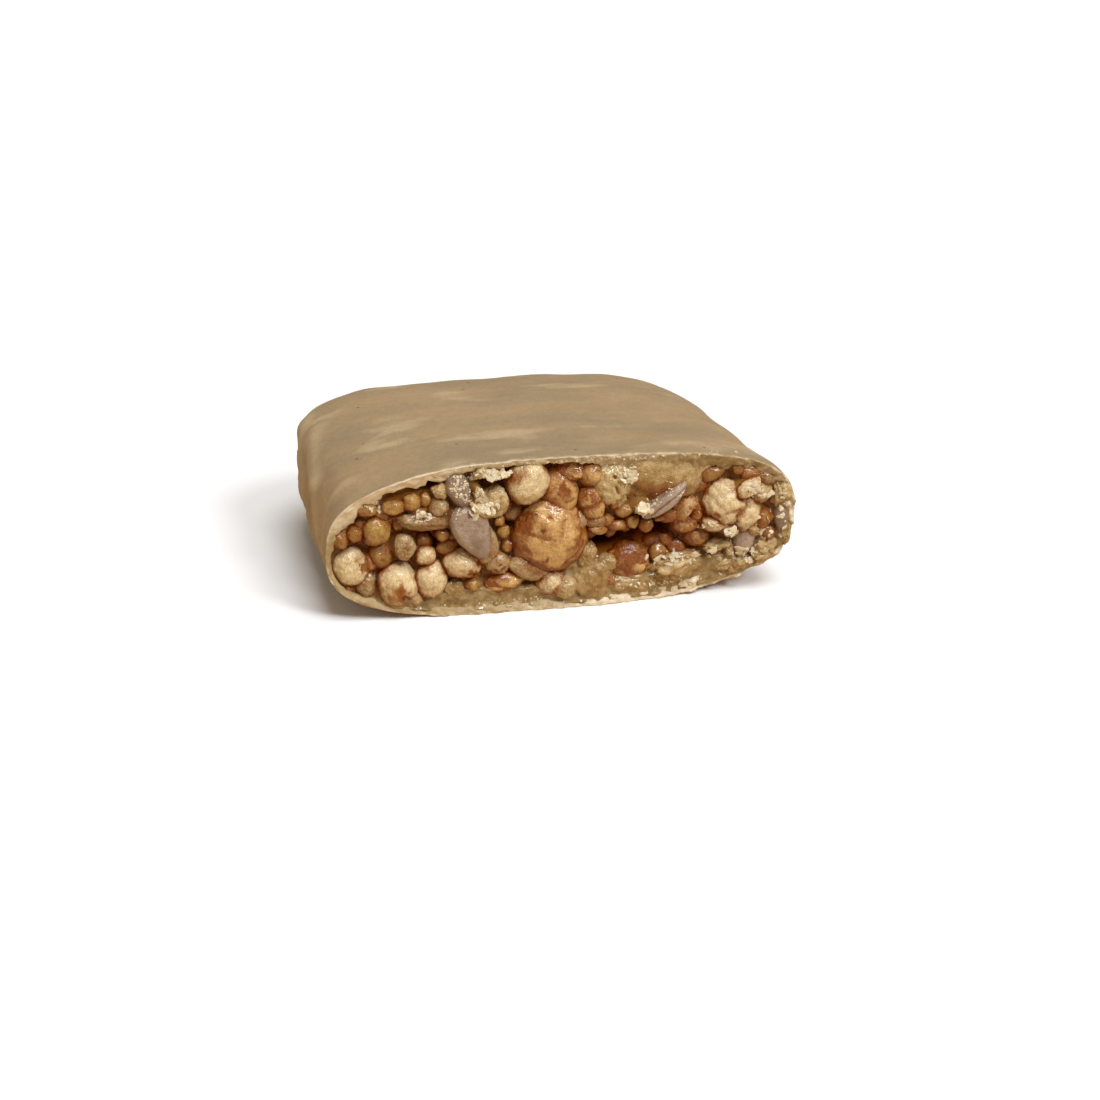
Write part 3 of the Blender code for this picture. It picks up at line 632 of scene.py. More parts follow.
def finish_piece(bm, name, node, material, smooth_shading=True):
    """Make the mesh an object that rides on the bar, replaces its CAD node and has its material."""
    bmesh.ops.recalc_face_normals(bm, faces=bm.faces[:])
    mesh = bpy.data.meshes.new(name)
    bm.to_mesh(mesh)
    bm.free()
    if smooth_shading:
        mesh.shade_smooth()
    mesh.materials.append(material)
    piece = bpy.data.objects.new(name, mesh)
    bpy.context.scene.collection.objects.link(piece)
    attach(piece, "root")
    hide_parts(node)
    return piece


def rim_thickness(x, z, base):
    """Thickness of the coating at the break near (x, z), and how pale it is there from 0 to 1."""
    extra = 0.0
    pale = 0.0
    for _, swell_x, swell_z, reach, more, shade in RIM_SWELLS:
        near = math.exp(-(math.hypot(x / MM - swell_x, z / MM - swell_z) / reach) ** 2)
        extra += more * MM * near
        pale += shade * near
    return base + extra, clamp(0.5 + 0.5 * pale)


def skin_relief(point, normal, sizes):
    """Height of the outer skin's lumps: soft domes over grains, folds on the flanks, and ripples."""
    steep = clamp(1.15 - normal.z)
    coarse = sizes.lump_height * (1 + 0.5 * steep) * noise.noise(point / (5 * MM))
    distances, spots = noise.voronoi(point / sizes.dome_size)
    dome = clamp(1 - (distances[0] / 0.62) ** 2) * clamp(0.4 + noise.noise(spots[0] * 7.3))
    folds = noise.noise(Vector((point.x / (4 * MM), point.y / (2.6 * MM), point.z / (7 * MM))))
    ripple = noise.noise(point / (1.3 * MM))
    raised = coarse + sizes.dome_height * steep * (dome + 0.6 * folds) + 0.02 * MM * ripple
    return raised + FOLD_SHARE * fold_height(point) - FLANK_INSET * left_flank(point)


def left_flank(point):
    """1 on the coating's left flank, 0 away from it."""
    return smooth((-point.x / WIDTH - 0.30) / 0.12)


def fold_height(point):
    """Height of the soft folds on the left flank at a point of the coating."""
    flank = left_flank(point)
    if flank == 0:
        return 0.0
    behind = (point.y - BREAK_Y - break_offset(point.x, point.z)) / MM
    height = 0.0
    for fold in FLANK_FOLDS:
        gap = gap_to_line(behind, point.z / MM, fold[:4])
        height += flank * fold[5] * MM * math.exp(-(gap / fold[4]) ** 2)
    return height


def ragged(point):
    """How far the broken edge strays along the bar, more at the bite."""
    right = clamp(point.x / (WIDTH / 2) - BITE_START)
    low = clamp((WIDEST - point.z) / WIDEST)
    coarse = (0.25 + 0.60 * right * low + 0.70 * right ** 3) * MM * noise.noise(point / (1.5 * MM))
    fine = (0.12 + 0.35 * right) * MM * noise.noise(point / (0.45 * MM))
    return coarse + fine + 0.9 * MM * right ** 4


def coating_bmesh(sizes):
    """Closed shell: from the inner skin's end, out over the broken rim and along the outer skin."""
    around = even_angles(sizes.around)
    inner = stations(*INNER_RINGS, sizes.thickness)
    outer = stations(*OUTER_RINGS, 0.0)
    places = [(inner[-1], 1 - i / CAP_RINGS, 0.0) for i in range(CAP_RINGS)]
    places += [(along, 0.0, 0.0) for along in reversed(inner)]
    places += [(0.0, 0.0, (i + 1) / (LIP_RINGS + 1)) for i in range(LIP_RINGS)]
    places += [(along, 0.0, 1.0) for along in outer]
    places += [(outer[-1], (i + 1) / CAP_RINGS, 1.0) for i in range(CAP_RINGS)]
    bm = bmesh.new()
    bmesh.ops.create_grid(bm, x_segments=sizes.around, y_segments=len(places) - 1, size=1.0)
    broken = bm.verts.layers.float.new("broken")
    edge = bm.verts.layers.float.new("edge")
    paleness = bm.verts.layers.float.new("paleness")
    crest = bm.verts.layers.float.new("crest")
    for vert in bm.verts:
        column = round((vert.co.x + 1) / 2 * sizes.around)
        row = round((vert.co.y + 1) / 2 * (len(places) - 1))
        along, cap, outward = places[row]
        angle = around[column]
        rim_x, rim_z = section_point(angle, 0.0, 0.0)
        thick, pale = rim_thickness(rim_x, rim_z, sizes.thickness)
        chip = noise.noise(Vector((rim_x, 0, rim_z)) / (1.4 * MM))
        thick *= 1 + 0.55 * chip + 0.35 * noise.noise(Vector((rim_x, 3, rim_z)) / (0.5 * MM))
        thick = max(thick, THINNEST_RIM)
        fade = smooth(1 - along * LENGTH / (5 * MM))
        inset = (sizes.thickness + (thick - sizes.thickness) * fade) * (1 - outward)
        point = skin_point(angle, along, cap, inset)
        bulge = 0.05 * MM * math.sin(math.pi * outward)
        slope = 0.55 * thick * (1 - outward)
        rim_fade = smooth(1 - along * LENGTH / (1.6 * MM))
        grit = 0.20 * MM * noise.noise(point / (0.5 * MM)) * math.sin(math.pi * outward)
        point.y += (ragged(point) - bulge + slope + grit) * rim_fade
        vert.co = point
        vert[broken] = 1.0 if outward < 1 else smooth(1 - along * LENGTH / (0.35 * MM))
        near_edge = math.exp(-((1 - outward) * thick / (0.16 * MM)) ** 2)
        vert[edge] = near_edge * smooth(1 - along * LENGTH / (0.5 * MM))
        vert[paleness] = pale
    bmesh.ops.remove_doubles(bm, verts=bm.verts[:], dist=0.001 * MM)
    bmesh.ops.recalc_face_normals(bm, faces=bm.faces[:])
    bm.normal_update()
    for vert in bm.verts:
        if vert[broken] < 1 and vert.co.z > 0.001 * MM:
            away = smooth((vert.co.y - BREAK_Y - break_offset(vert.co.x, vert.co.z)) / (0.8 * MM))
            # fold height on the flank, which the material turns into a painted highlight
            vert[crest] = fold_height(vert.co) / MM
            vert.co += vert.normal * skin_relief(vert.co, vert.normal, sizes) * (0.4 + 0.6 * away)
            vert.co.z = max(vert.co.z, 0.0)
    return bm


class GrainShape:
    """Plain ellipsoid of a grain: middle, half sizes, turn, and how much narrower it gets downwards."""

    def __init__(self, row, narrow=0.0):
        self.narrow = narrow
        _, x, z, behind, across, up, deep, turn, _, _ = row
        self.half = Vector((across, deep, up)) * MM / 2
        self.centre = behind_break(x * MM, z * MM, (behind + deep / 2) * MM)
        self.spin = Matrix.Rotation(math.radians(turn), 3, "Y")
        self.unspin = self.spin.transposed()
        self.reach = max(self.half.x, self.half.z)

    def width_at(self, up):
        """Share of the full width at a height from -1 to 1."""
        return 1 - self.narrow * (1 - min(max(up, -1.0), 1.0)) / 2

    def gap(self, point):
        """Rough distance from a point to the grain, below 0 inside it."""
        local = self.unspin @ (point - self.centre)
        up = local.z / self.half.z
        across = local.x / (self.half.x * self.width_at(up))
        return (math.hypot(across, local.y / self.half.y, up) - 1) * min(self.half)

    def front(self, x, z):
        """How far along the bar the grain's front lies at (x, z), falling off behind its outline."""
        local = self.unspin @ Vector((x - self.centre.x, 0, z - self.centre.z))
        up = local.z / self.half.z
        share = (local.x / (self.half.x * self.width_at(up))) ** 2 + up ** 2
        if share < 1:
            return self.centre.y - self.half.y * math.sqrt(1 - share)
        return self.centre.y + 2.2 * self.reach * (math.sqrt(share) - 1)


def grain_shapes(sizes):
    """Shapes of all grains, those of the fine beads too."""
    shapes = [GrainShape(row) for row in fine_bead_rows(sizes)]
    for table in GRAIN_TABLES:
        narrow = SEED_NARROWING if table is SEEDS else 0.0
        shapes += [GrainShape(row, narrow) for row in table]
    return shapes


def neighbours(shape, shapes):
    """Grains close enough to touch a grain, without itself."""
    near = []
    for other in shapes:
        away = (other.centre - shape.centre).length
        if 0.01 * MM < away < shape.reach + other.reach + 0.8 * MM:
            near.append(other)
    return near


def binder(x, z):
    """How much pale binder there is at (x, z), and how far behind the break it lies."""
    most = 0.0
    depth = 0.0
    for _, middle_x, middle_z, reach_x, reach_z, behind in BINDER_ZONES:
        away = ((x / MM - middle_x) / reach_x) ** 2 + ((z / MM - middle_z) / reach_z) ** 2
        amount = math.exp(-away ** 2)
        if amount > most:
            most = amount
            depth = behind * MM
    return most, depth


def syrup_front(x, z, inward, shapes):
    """Front of the syrup at (x, z): it clings to the grains and the wall, and sinks between them."""
    spot = Vector((x, 0, z))
    start = BREAK_Y + break_offset(x, z)
    pale, pale_depth = binder(x, z)
    rough = noise.noise(spot / (1.1 * MM))
    depth = (2.9 + 0.8 * noise.noise(spot / (2.6 * MM)) + 0.4 * rough) * MM
    depth += (pale_depth + (0.35 + 0.30 * rough) * MM - depth) * smooth(pale * 1.6)
    wall_depth = (0.75 - 0.35 * smooth(pale * 1.8)) * MM
    wall = start + wall_depth + 2.0 * inward + 0.3 * MM * rough
    blend = SYRUP_BLEND
    total = math.exp(-depth / blend) + math.exp(-(wall - start) / blend)
    for shape in shapes:
        reach = shape.reach + 1.2 * MM
        if abs(x - shape.centre.x) < reach and abs(z - shape.centre.z) < reach:
            front = shape.front(x, z) + SYRUP_STEP - start
            total += math.exp(-front / blend)
    return start - blend * math.log(total) + HOLLOW_DEPTH * hollow(x, z), pale


def core_bmesh(shapes):
    """Closed filling body: syrup that clings to the grains, with hollows in it, then back along the bar."""
    around_count = 440
    face_rings = 110
    around = even_angles(around_count)
    inset = 0.68 * MM
    face_inset = 0.36 * MM
    side_start = 2.3 * MM
    side = stations(*CORE_RINGS, inset)
    places = [(0.0, i / face_rings, False) for i in range(face_rings)]
    places += [(along, 1.0, False) for along in side]
    places += [(side[-1], 1 - (i + 1) / CORE_CAP_RINGS, True) for i in range(CORE_CAP_RINGS)]
    bm = bmesh.new()
    bmesh.ops.create_grid(bm, x_segments=around_count, y_segments=len(places) - 1, size=1.0)
    sunk = bm.verts.layers.float.new("sunk")
    pale_layer = bm.verts.layers.float.new("paleness")
    for vert in bm.verts:
        column = round((vert.co.x + 1) / 2 * around_count)
        row = round((vert.co.y + 1) / 2 * (len(places) - 1))
        along, reach, at_end = places[row]
        if at_end:
            vert.co = skin_point(around[column], along, 1 - reach, inset)
            continue
        point = surface_point(around[column], along, inset, side_start)
        if reach < 1:
            edge_point = surface_point(around[column], 0.0, face_inset, 0.0)
            x = edge_point.x * reach
            z = WIDEST + (edge_point.z - WIDEST) * reach
            inward = (1 - reach) * max(abs(point.z - WIDEST), abs(point.x) - (WIDTH - HEIGHT) / 2)
            y, pale = syrup_front(x, z, inward, shapes)
            point = Vector((x, y, z))
            depth = (y - BREAK_Y - break_offset(x, z)) / MM
            # depth behind the break; the material darkens it with painted shade
            vert[sunk] = clamp((depth - 0.6) / 3.2)
            vert[pale_layer] = smooth(pale * 1.6)
        vert.co = point
    bmesh.ops.remove_doubles(bm, verts=bm.verts[:], dist=0.001 * MM)
    return bm


def grain_skin(direction, marks, offset, texture):
    """Radius of an uneven grain in a direction of its own, and its tone there: painted shade in dents and
    painted light on bumps, where a mark gives no shade of its own.
    """
    large, small, fine = texture
    swell = 1 + large * noise.noise(direction * 1.4 + offset)
    swell += small * noise.noise(direction * 4.5 + offset)
    if fine:
        swell -= fine * abs(noise.noise(direction * 11 + offset))
    mark_tone_and_shade = 0.0
    front = smooth(0.35 - direction.y * 1.6)
    stray = 1 + 0.7 * noise.noise(direction * 5.5 + offset) + 0.4 * noise.noise(direction * 14 + offset)
    for mark in marks:
        gap = gap_to_line(direction.x, direction.z, mark[:4]) * stray
        reach = math.exp(-(gap / mark[4]) ** 2) * front
        swell += mark[5] * reach
        # painted shade in dents and painted light on bumps, unless the mark gives its own shade
        mark_tone_and_shade += (mark[6] if len(mark) > 6 else -5 * mark[5]) * reach
    return swell, mark_tone_and_shade


def grain_layers(bm):
    """Values on the points of grains: tint, the marks' tone with painted shade and light, syrup and painted
    shade round the sides, and the place on the grain.
    """
    layers = bm.verts.layers
    return {
        "tint": layers.float.new("tint"),
        "dent": layers.float.new("dent"),
        # syrup and painted shade round the sides and where grains touch
        "syrup": layers.float.new("syrup"),
        "place": layers.float_vector.new("place"),
    }


def syrup_and_painted_shade(point, outward, near):
    """How much syrup and painted shade lies on a grain at a point: where it touches others, behind the break,
    and painted shade on its sides turned from the light.
    """
    behind = (point.y - BREAK_Y - break_offset(point.x, point.z)) / MM
    # painted shade on the sides turned away from the light in front and above
    facing_light = outward.dot(Vector((0.22, -0.87, 0.44)))
    # syrup and painted shade where the grain touches others, and deeper behind the break
    gap = min([shape.gap(point) for shape in near], default=MM)
    touching = math.exp(-max(gap, 0.0) / (0.44 * MM))
    turned = smooth((0.66 - facing_light) / 0.9)
    return clamp(0.75 * touching + 0.60 * smooth((behind - 0.4) / 2.2) + 0.85 * turned)


def add_grain(bm, layers, row, index, detail, texture, shapes, narrow=0.0, flat=2.0):
    """One uneven grain, from a sphere: narrower towards its lower end by narrow, flatter in front by flat."""
    tint = row[8]
    marks = row[9]
    shape = GrainShape(row, narrow)
    near = neighbours(shape, shapes)
    offset = Vector((index * 3.17, index * 1.31, index * 7.73))
    made = bmesh.ops.create_icosphere(bm, subdivisions=detail, radius=1.0)
    for vert in made["verts"]:
        direction = vert.co.normalized()
        swell, mark_tone_and_shade = grain_skin(direction, marks, offset, texture)
        if flat > 2:
            round_part = math.hypot(direction.x, direction.z)
            swell /= (round_part ** flat + abs(direction.y) ** flat) ** (1 / flat)
        local = direction * swell
        local.x *= shape.width_at(local.z)
        local = Vector((local.x * shape.half.x, local.y * shape.half.y, local.z * shape.half.z))
        point = shape.centre + shape.spin @ local
        outward = Vector((direction.x / shape.half.x, direction.y / shape.half.y, direction.z / shape.half.z))
        vert[layers["syrup"]] = syrup_and_painted_shade(point, (shape.spin @ outward).normalized(), near)
        vert.co = hold_inside(point, GRAIN_INSET)
        vert[layers["tint"]] = tint
        vert[layers["dent"]] = max(min(mark_tone_and_shade, 1.5), -1.5)
        vert[layers["place"]] = local / MM + offset


def add_grains(name, rows, material, shapes, large_detail=None, narrow=0.0, flat=2.0):
    """Make a piece from rows of grains; the large ones are divided more finely where that is given."""
    detail, texture, first_index = GRAIN_PIECES[name]
    bm = bmesh.new()
    layers = grain_layers(bm)
    for index, row in enumerate(rows):
        fine = large_detail if large_detail and row[4] * row[5] > LARGE_GRAIN else detail
        add_grain(bm, layers, row, first_index + index, fine, texture, shapes, narrow, flat)
    finish_piece(bm, name, "granola", material)


def crowded(x, z, radius, discs):
    """Whether a disc lies too close to one of the others."""
    for other_x, other_z, other_radius in discs:
        if math.hypot(x - other_x, z - other_z) < BEAD_ROOM * (radius + other_radius):
            return True
    return False


def inside_outline(x, z, margin):
    """Whether (x, z) lies inside the outline of the break moved in by margin, all in mm."""
    point = Vector((x * MM, BREAK_Y, z * MM))
    return (hold_inside(point.copy(), margin * MM) - point).length < 1e-9


def fine_bead_rows(sizes):
    """Rows of small beads, seeded, wherever the named grains leave room; the hollow stays open."""
    draw = random.Random(sizes.bead_seed)
    discs = []
    for table in GRAIN_TABLES:
        discs += [(row[1], row[2], (row[4] + row[5]) / 4) for row in table]
    rows = []
    for attempt in range(BEAD_TRIES):
        if len(rows) == sizes.bead_count:
            break
        size = BEAD_SIZE - BEAD_SHRINK * attempt / BEAD_TRIES
        x = draw.uniform(-WIDTH / 2, WIDTH / 2) / MM
        z = draw.uniform(0, HEIGHT) / MM
        if not inside_outline(x, z, BEAD_MARGIN + size / 2) or hollow(x * MM, z * MM) > BEAD_HOLLOW_LIMIT:
            continue
        if crowded(x, z, size / 2, discs):
            continue
        discs.append((x, z, size / 2))
        shape = (size * draw.uniform(0.85, 1.5), size * draw.uniform(0.8, 1.2), size)
        depth = draw.uniform(0.8, 2.0)
        rows.append(("bead", x, z, depth, *shape, draw.uniform(-60, 60), draw.uniform(0.3, 1.0), ()))
    return rows


def filling_tree():
    """Search tree over the filling and the coating that are already made."""
    points = []
    faces = []
    for piece in bpy.context.scene.objects:
        if piece.type == "MESH" and piece.parent and not piece.hide_render and "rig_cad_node" not in piece:
            start = len(points)
            points += [vert.co.copy() for vert in piece.data.vertices]
            faces += [[start + i for i in polygon.vertices] for polygon in piece.data.polygons]
    return BVHTree.FromPolygons(points, faces)


def crumbs_bmesh(sizes):
    """Angular crumbs of broken coating, seeded, each lying on what shows at its place on the break."""
    draw = random.Random(sizes.crumb_seed)
    tree = filling_tree()
    eye = camera_place()
    bm = bmesh.new()
    tint = bm.verts.layers.float.new("tint")
    for _, x, z, spread_x, spread_z, count, size in CRUMB_PATCHES:
        for _ in range(count):
            spot_x = (x + draw.gauss(0, 0.5) * spread_x) * MM
            spot_z = (z + draw.gauss(0, 0.5) * spread_z) * MM
            sight = (behind_break(spot_x, spot_z, 0.0) - eye).normalized()
            hit, normal = tree.ray_cast(eye, sight)[:2]
            radius = size * MM * draw.uniform(0.25, 0.65)
            flatness = 0.22 if size > FLAKE_SIZE else 0.5
            long = radius * draw.uniform(0.6, 1.3)
            wide = radius * draw.uniform(0.5, 1.1)
            shape = Vector((long, wide, radius * flatness))
            twist = Matrix.Rotation(draw.uniform(0, 6), 3, "Z")
            tilt = Vector((draw.gauss(0, 0.35), draw.gauss(0, 0.35), draw.gauss(0, 0.35)))
            shade = draw.random() ** 2
            if hit is None or hit.y > BREAK_Y + CRUMB_DEEPEST or hit.z < CRUMB_LOWEST:
                continue
            turn = (normal + tilt).to_track_quat("Z", "Y").to_matrix() @ twist
            made = bmesh.ops.create_icosphere(bm, subdivisions=2 if size > FLAKE_SIZE else 1, radius=1.0)
            for vert in made["verts"]:
                jitter = 1 + draw.uniform(-0.42, 0.42)
                local = Vector(a * b for a, b in zip(vert.co, shape)) * jitter
                vert.co = hit + turn @ local
                vert.co.z = max(vert.co.z, 0.0)
                vert[tint] = shade
    return bm


def link_or_set(tree, socket, value):
    """Feed a socket from another socket, or give it a value."""
    if isinstance(value, bpy.types.NodeSocket):
        tree.links.new(value, socket)
    else:
        socket.default_value = value


def with_alpha(colour):
    return (colour[0], colour[1], colour[2], 1.0)


def object_place(tree, stretch=(1, 1, 1)):
    """Object coordinates, stretched along the axes."""
    return scaled_place(tree, tree.nodes.new("ShaderNodeTexCoord").outputs["Object"], stretch)


def scaled_place(tree, vector, stretch):
    """Coordinates stretched along their axes."""
    mapping = tree.nodes.new("ShaderNodeMapping")
    mapping.inputs["Scale"].default_value = stretch
    tree.links.new(vector, mapping.inputs["Vector"])
    return mapping.outputs["Vector"]


def point_value(tree, name, output="Fac"):
    """Value that the mesh's points carry under a name."""
    node = tree.nodes.new("ShaderNodeAttribute")
    node.attribute_name = name
    return node.outputs[output]


def noise_value(tree, vector, scale, detail=2.0, roughness=0.5):
    node = tree.nodes.new("ShaderNodeTexNoise")
    tree.links.new(vector, node.inputs["Vector"])
    link_or_set(tree, node.inputs["Scale"], scale)
    node.inputs["Detail"].default_value = detail
    node.inputs["Roughness"].default_value = roughness
    return node.outputs["Fac"]


def cells(tree, vector, scale):
    """Distance to the nearest cell's middle and the cell's random colour."""
    node = tree.nodes.new("ShaderNodeTexVoronoi")
    tree.links.new(vector, node.inputs["Vector"])
    link_or_set(tree, node.inputs["Scale"], scale)
    return node.outputs["Distance"], node.outputs["Color"]


def spread(tree, value, low, high, to_low=0.0, to_high=1.0):
    """Soft step of a value between low and high."""
    node = tree.nodes.new("ShaderNodeMapRange")
    node.interpolation_type = "SMOOTHSTEP"
    link_or_set(tree, node.inputs["Value"], value)
    for label, number in (("From Min", low), ("From Max", high), ("To Min", to_low), ("To Max", to_high)):
        node.inputs[label].default_value = number
    return node.outputs["Result"]


def calculate(tree, operation, first, second):
    node = tree.nodes.new("ShaderNodeMath")
    node.operation = operation
    link_or_set(tree, node.inputs[0], first)
    link_or_set(tree, node.inputs[1], second)
    return node.outputs[0]


def mix_colours(tree, factor, first, second, blend="MIX"):
    node = tree.nodes.new("ShaderNodeMix")
    node.data_type = "RGBA"
    node.blend_type = blend
    link_or_set(tree, node.inputs[0], factor)
    link_or_set(tree, node.inputs[6], first)
    link_or_set(tree, node.inputs[7], second)
    return node.outputs[2]


def as_grey(tree, value):
    """Value as a grey colour."""
    node = tree.nodes.new("ShaderNodeCombineColor")
    for channel in ("Red", "Green", "Blue"):
        tree.links.new(value, node.inputs[channel])
    return node.outputs["Color"]


def new_group(name, inputs, outputs):
    """Empty node group with named sockets."""
    group = bpy.data.node_groups.new(name, "ShaderNodeTree")
    for label, kind in inputs:
        group.interface.new_socket(label, in_out="INPUT", socket_type=kind)
    for label, kind in outputs:
        group.interface.new_socket(label, in_out="OUTPUT", socket_type=kind)
    return group, group.nodes.new("NodeGroupInput"), group.nodes.new("NodeGroupOutput")


def place_group(tree, group, values):
    """Node of a group in a tree, fed with values by socket name."""
    node = tree.nodes.new("ShaderNodeGroup")
    node.node_tree = group
    for label, value in values.items():
        link_or_set(tree, node.inputs[label], value)
    return node


def fine_grain_group():
    """Fine Grain: shade near 1 and a height, from two sizes of noise."""
    name = "Fine Grain"
    if name in bpy.data.node_groups:
        return bpy.data.node_groups[name]
    tree, given, result = new_group(
        name,
        (("Scale", "NodeSocketFloat"), ("Amount", "NodeSocketFloat")),
        (("Shade", "NodeSocketFloat"), ("Height", "NodeSocketFloat")))
    place = object_place(tree)
    coarse = noise_value(tree, place, given.outputs["Scale"], 3.0, 0.6)
    fine_scale = calculate(tree, "MULTIPLY", given.outputs["Scale"], 3.3)
    fine = noise_value(tree, place, fine_scale, 1.0)
    both = calculate(tree, "ADD", coarse, fine)
    centred = calculate(tree, "SUBTRACT", both, 1.0)
    shade = calculate(tree, "MULTIPLY", centred, given.outputs["Amount"])
    tree.links.new(calculate(tree, "ADD", shade, 1.0), result.inputs["Shade"])
    tree.links.new(both, result.inputs["Height"])
    return tree


def syrup_group():
    """Syrup Glaze: a grain's pale and dark colours, mottled, under syrup and painted shade in its dents,
    where it touches others and on its shaded sides.
    """
    name = "Syrup Glaze"
    if name in bpy.data.node_groups:
        return bpy.data.node_groups[name]
    colour = "NodeSocketColor"
    number = "NodeSocketFloat"
    tree, given, result = new_group(
        name,
        (("Pale", colour), ("Dark", colour), ("Syrup", colour), ("Deep Syrup", colour), ("Mottle", number),
         ("Mottle Scale", number), ("Syrup Amount", number)),
        (("Color", colour), ("Wet", number)))
    place = object_place(tree)
    mottle = noise_value(tree, place, given.outputs["Mottle Scale"], 4.0, 0.75)
    centred = calculate(tree, "SUBTRACT", mottle, 0.5)
    shift = calculate(tree, "MULTIPLY", centred, given.outputs["Mottle"])
    dent = point_value(tree, "dent")
    tint = calculate(tree, "ADD", point_value(tree, "tint"), shift)
    # the marks' tone: painted shade in dents, painted light on bumps, and given own tones
    tint = calculate(tree, "ADD", tint, calculate(tree, "MULTIPLY", dent, 0.9))
    skin = mix_colours(tree, spread(tree, tint, 0.0, 1.0), given.outputs["Pale"], given.outputs["Dark"])
    patch = calculate(tree, "SUBTRACT", noise_value(tree, place, 1300.0, 4.0, 0.7), 0.5)
    # syrup and painted shade that the points carry
    syrup = calculate(tree, "MULTIPLY", point_value(tree, "syrup"), given.outputs["Syrup Amount"])
    syrup = calculate(tree, "ADD", syrup, calculate(tree, "MULTIPLY", patch, 1.3))
    # dents also take more syrup and painted shade
    syrup = calculate(tree, "ADD", syrup, calculate(tree, "MULTIPLY", dent, 0.55))
    # syrup colour, and where it is deepest the deep syrup colour as painted shade
    wet_and_shaded = spread(tree, syrup, 0.05, 0.76)
    coated = mix_colours(tree, wet_and_shaded, skin, given.outputs["Syrup"])
    deep = spread(tree, syrup, 0.64, 1.20)
    tree.links.new(mix_colours(tree, deep, coated, given.outputs["Deep Syrup"]), result.inputs["Color"])
    tree.links.new(wet_and_shaded, result.inputs["Wet"])
    return tree


def new_material(name, roughness, coat, subsurface, specular=0.2):
    """Material with a Principled shader, and its tree and shader."""
    material = bpy.data.materials.new(name)
    material.use_nodes = True
    tree = material.node_tree
    shader = tree.nodes["Principled BSDF"]
    shader.inputs["Roughness"].default_value = roughness
    shader.inputs["Specular IOR Level"].default_value = specular
    shader.inputs["Coat Weight"].default_value = coat
    shader.inputs["Coat Roughness"].default_value = 0.08
    shader.inputs["Coat IOR"].default_value = 1.6
    shader.inputs["Subsurface Weight"].default_value = subsurface
    shader.inputs["Subsurface Radius"].default_value = (1.0, 0.55, 0.25)
    shader.inputs["Subsurface Scale"].default_value = 0.28 * MM
    return material, tree, shader


def add_bump(tree, shader, height, strength, distance):
    bump = tree.nodes.new("ShaderNodeBump")
    bump.inputs["Strength"].default_value = strength
    bump.inputs["Distance"].default_value = distance
    tree.links.new(height, bump.inputs["Height"])
    tree.links.new(bump.outputs["Normal"], shader.inputs["Normal"])


def specks(tree, place, scale, share):
    """Mask of small round specks, in the cells whose random value lies above share."""
    distance, colour = cells(tree, place, scale)
    speck = spread(tree, distance, 0.20, 0.10)
    rare = tree.nodes.new("ShaderNodeSeparateColor")
    tree.links.new(colour, rare.inputs["Color"])
    chosen = spread(tree, rare.outputs["Red"], share, share + 0.05, 0.0, 0.7)
    return calculate(tree, "MULTIPLY", speck, chosen)


def coating_material(colours):
    """Waxy beige coating: grey-green and warm mottling drawn out across the bar, specks, a painted highlight
    on the flank's fold crests, cream break.
    """
    material, tree, shader = new_material("waxy_coating", 0.46, 0.0, 0.10, 0.32)
    place = object_place(tree)
    across = object_place(tree, (0.35, 1.0, 0.8))
    clouds = spread(tree, noise_value(tree, across, 190.0, 3.0, 0.55), 0.32, 0.70)
    colour = mix_colours(tree, clouds, with_alpha(colours.coating_grey), with_alpha(colours.coating_warm))
    light = spread(tree, noise_value(tree, across, 330.0, 2.0, 0.5), 0.56, 0.74, 0.0, 0.85)
    colour = mix_colours(tree, light, colour, with_alpha(colours.coating_light_and_crest_highlight))
    distance, _ = cells(tree, across, 210.0)
    patch = spread(tree, distance, 0.42, 0.10, 0.0, 0.5)
    chosen = spread(tree, noise_value(tree, place, 160.0, 1.0), 0.52, 0.64)
    patch = calculate(tree, "MULTIPLY", patch, chosen)
    colour = mix_colours(tree, patch, colour, with_alpha(colours.coating_patch))
    colour = mix_colours(tree, specks(tree, place, 900.0, 0.90), colour, with_alpha(colours.speck))
    # painted highlight: the crests of the flank's folds are lighter
    crest_highlight = spread(tree, point_value(tree, "crest"), 0.08, 0.50, 0.0, 0.60)
    colour = mix_colours(tree, crest_highlight, colour, with_alpha(colours.coating_light_and_crest_highlight))
    grain = place_group(tree, fine_grain_group(), {"Scale": 1500.0, "Amount": 0.30})
    broken = point_value(tree, "broken")
    stain = noise_value(tree, place, 1100.0, 4.0, 0.7)
    paleness = calculate(tree, "ADD", point_value(tree, "paleness"), stain)
    pale = spread(tree, paleness, 0.70, 1.30)
    rim = mix_colours(tree, pale, with_alpha(colours.rim), with_alpha(colours.rim_light))
    colour = mix_colours(tree, broken, colour, rim)
    dusted = spread(tree, noise_value(tree, place, 1500.0, 3.0), 0.40, 0.70)
    powder = calculate(tree, "MULTIPLY", point_value(tree, "edge"), dusted)
    colour = mix_colours(tree, powder, colour, with_alpha(colours.crumb))
    colour = mix_colours(tree, 1.0, colour, as_grey(tree, grain.outputs["Shade"]), "MULTIPLY")
    tree.links.new(colour, shader.inputs["Base Color"])
    rough = spread(tree, noise_value(tree, place, 260.0, 2.0), 0.3, 0.7, 0.42, 0.58)
    tree.links.new(rough, shader.inputs["Roughness"])
    rough_break = calculate(tree, "MULTIPLY", broken, noise_value(tree, place, 2600.0, 3.0, 0.7))
    height = calculate(tree, "ADD", grain.outputs["Height"], calculate(tree, "MULTIPLY", rough_break, 9.0))
    add_bump(tree, shader, height, 0.25, 0.03 * MM)
    return material


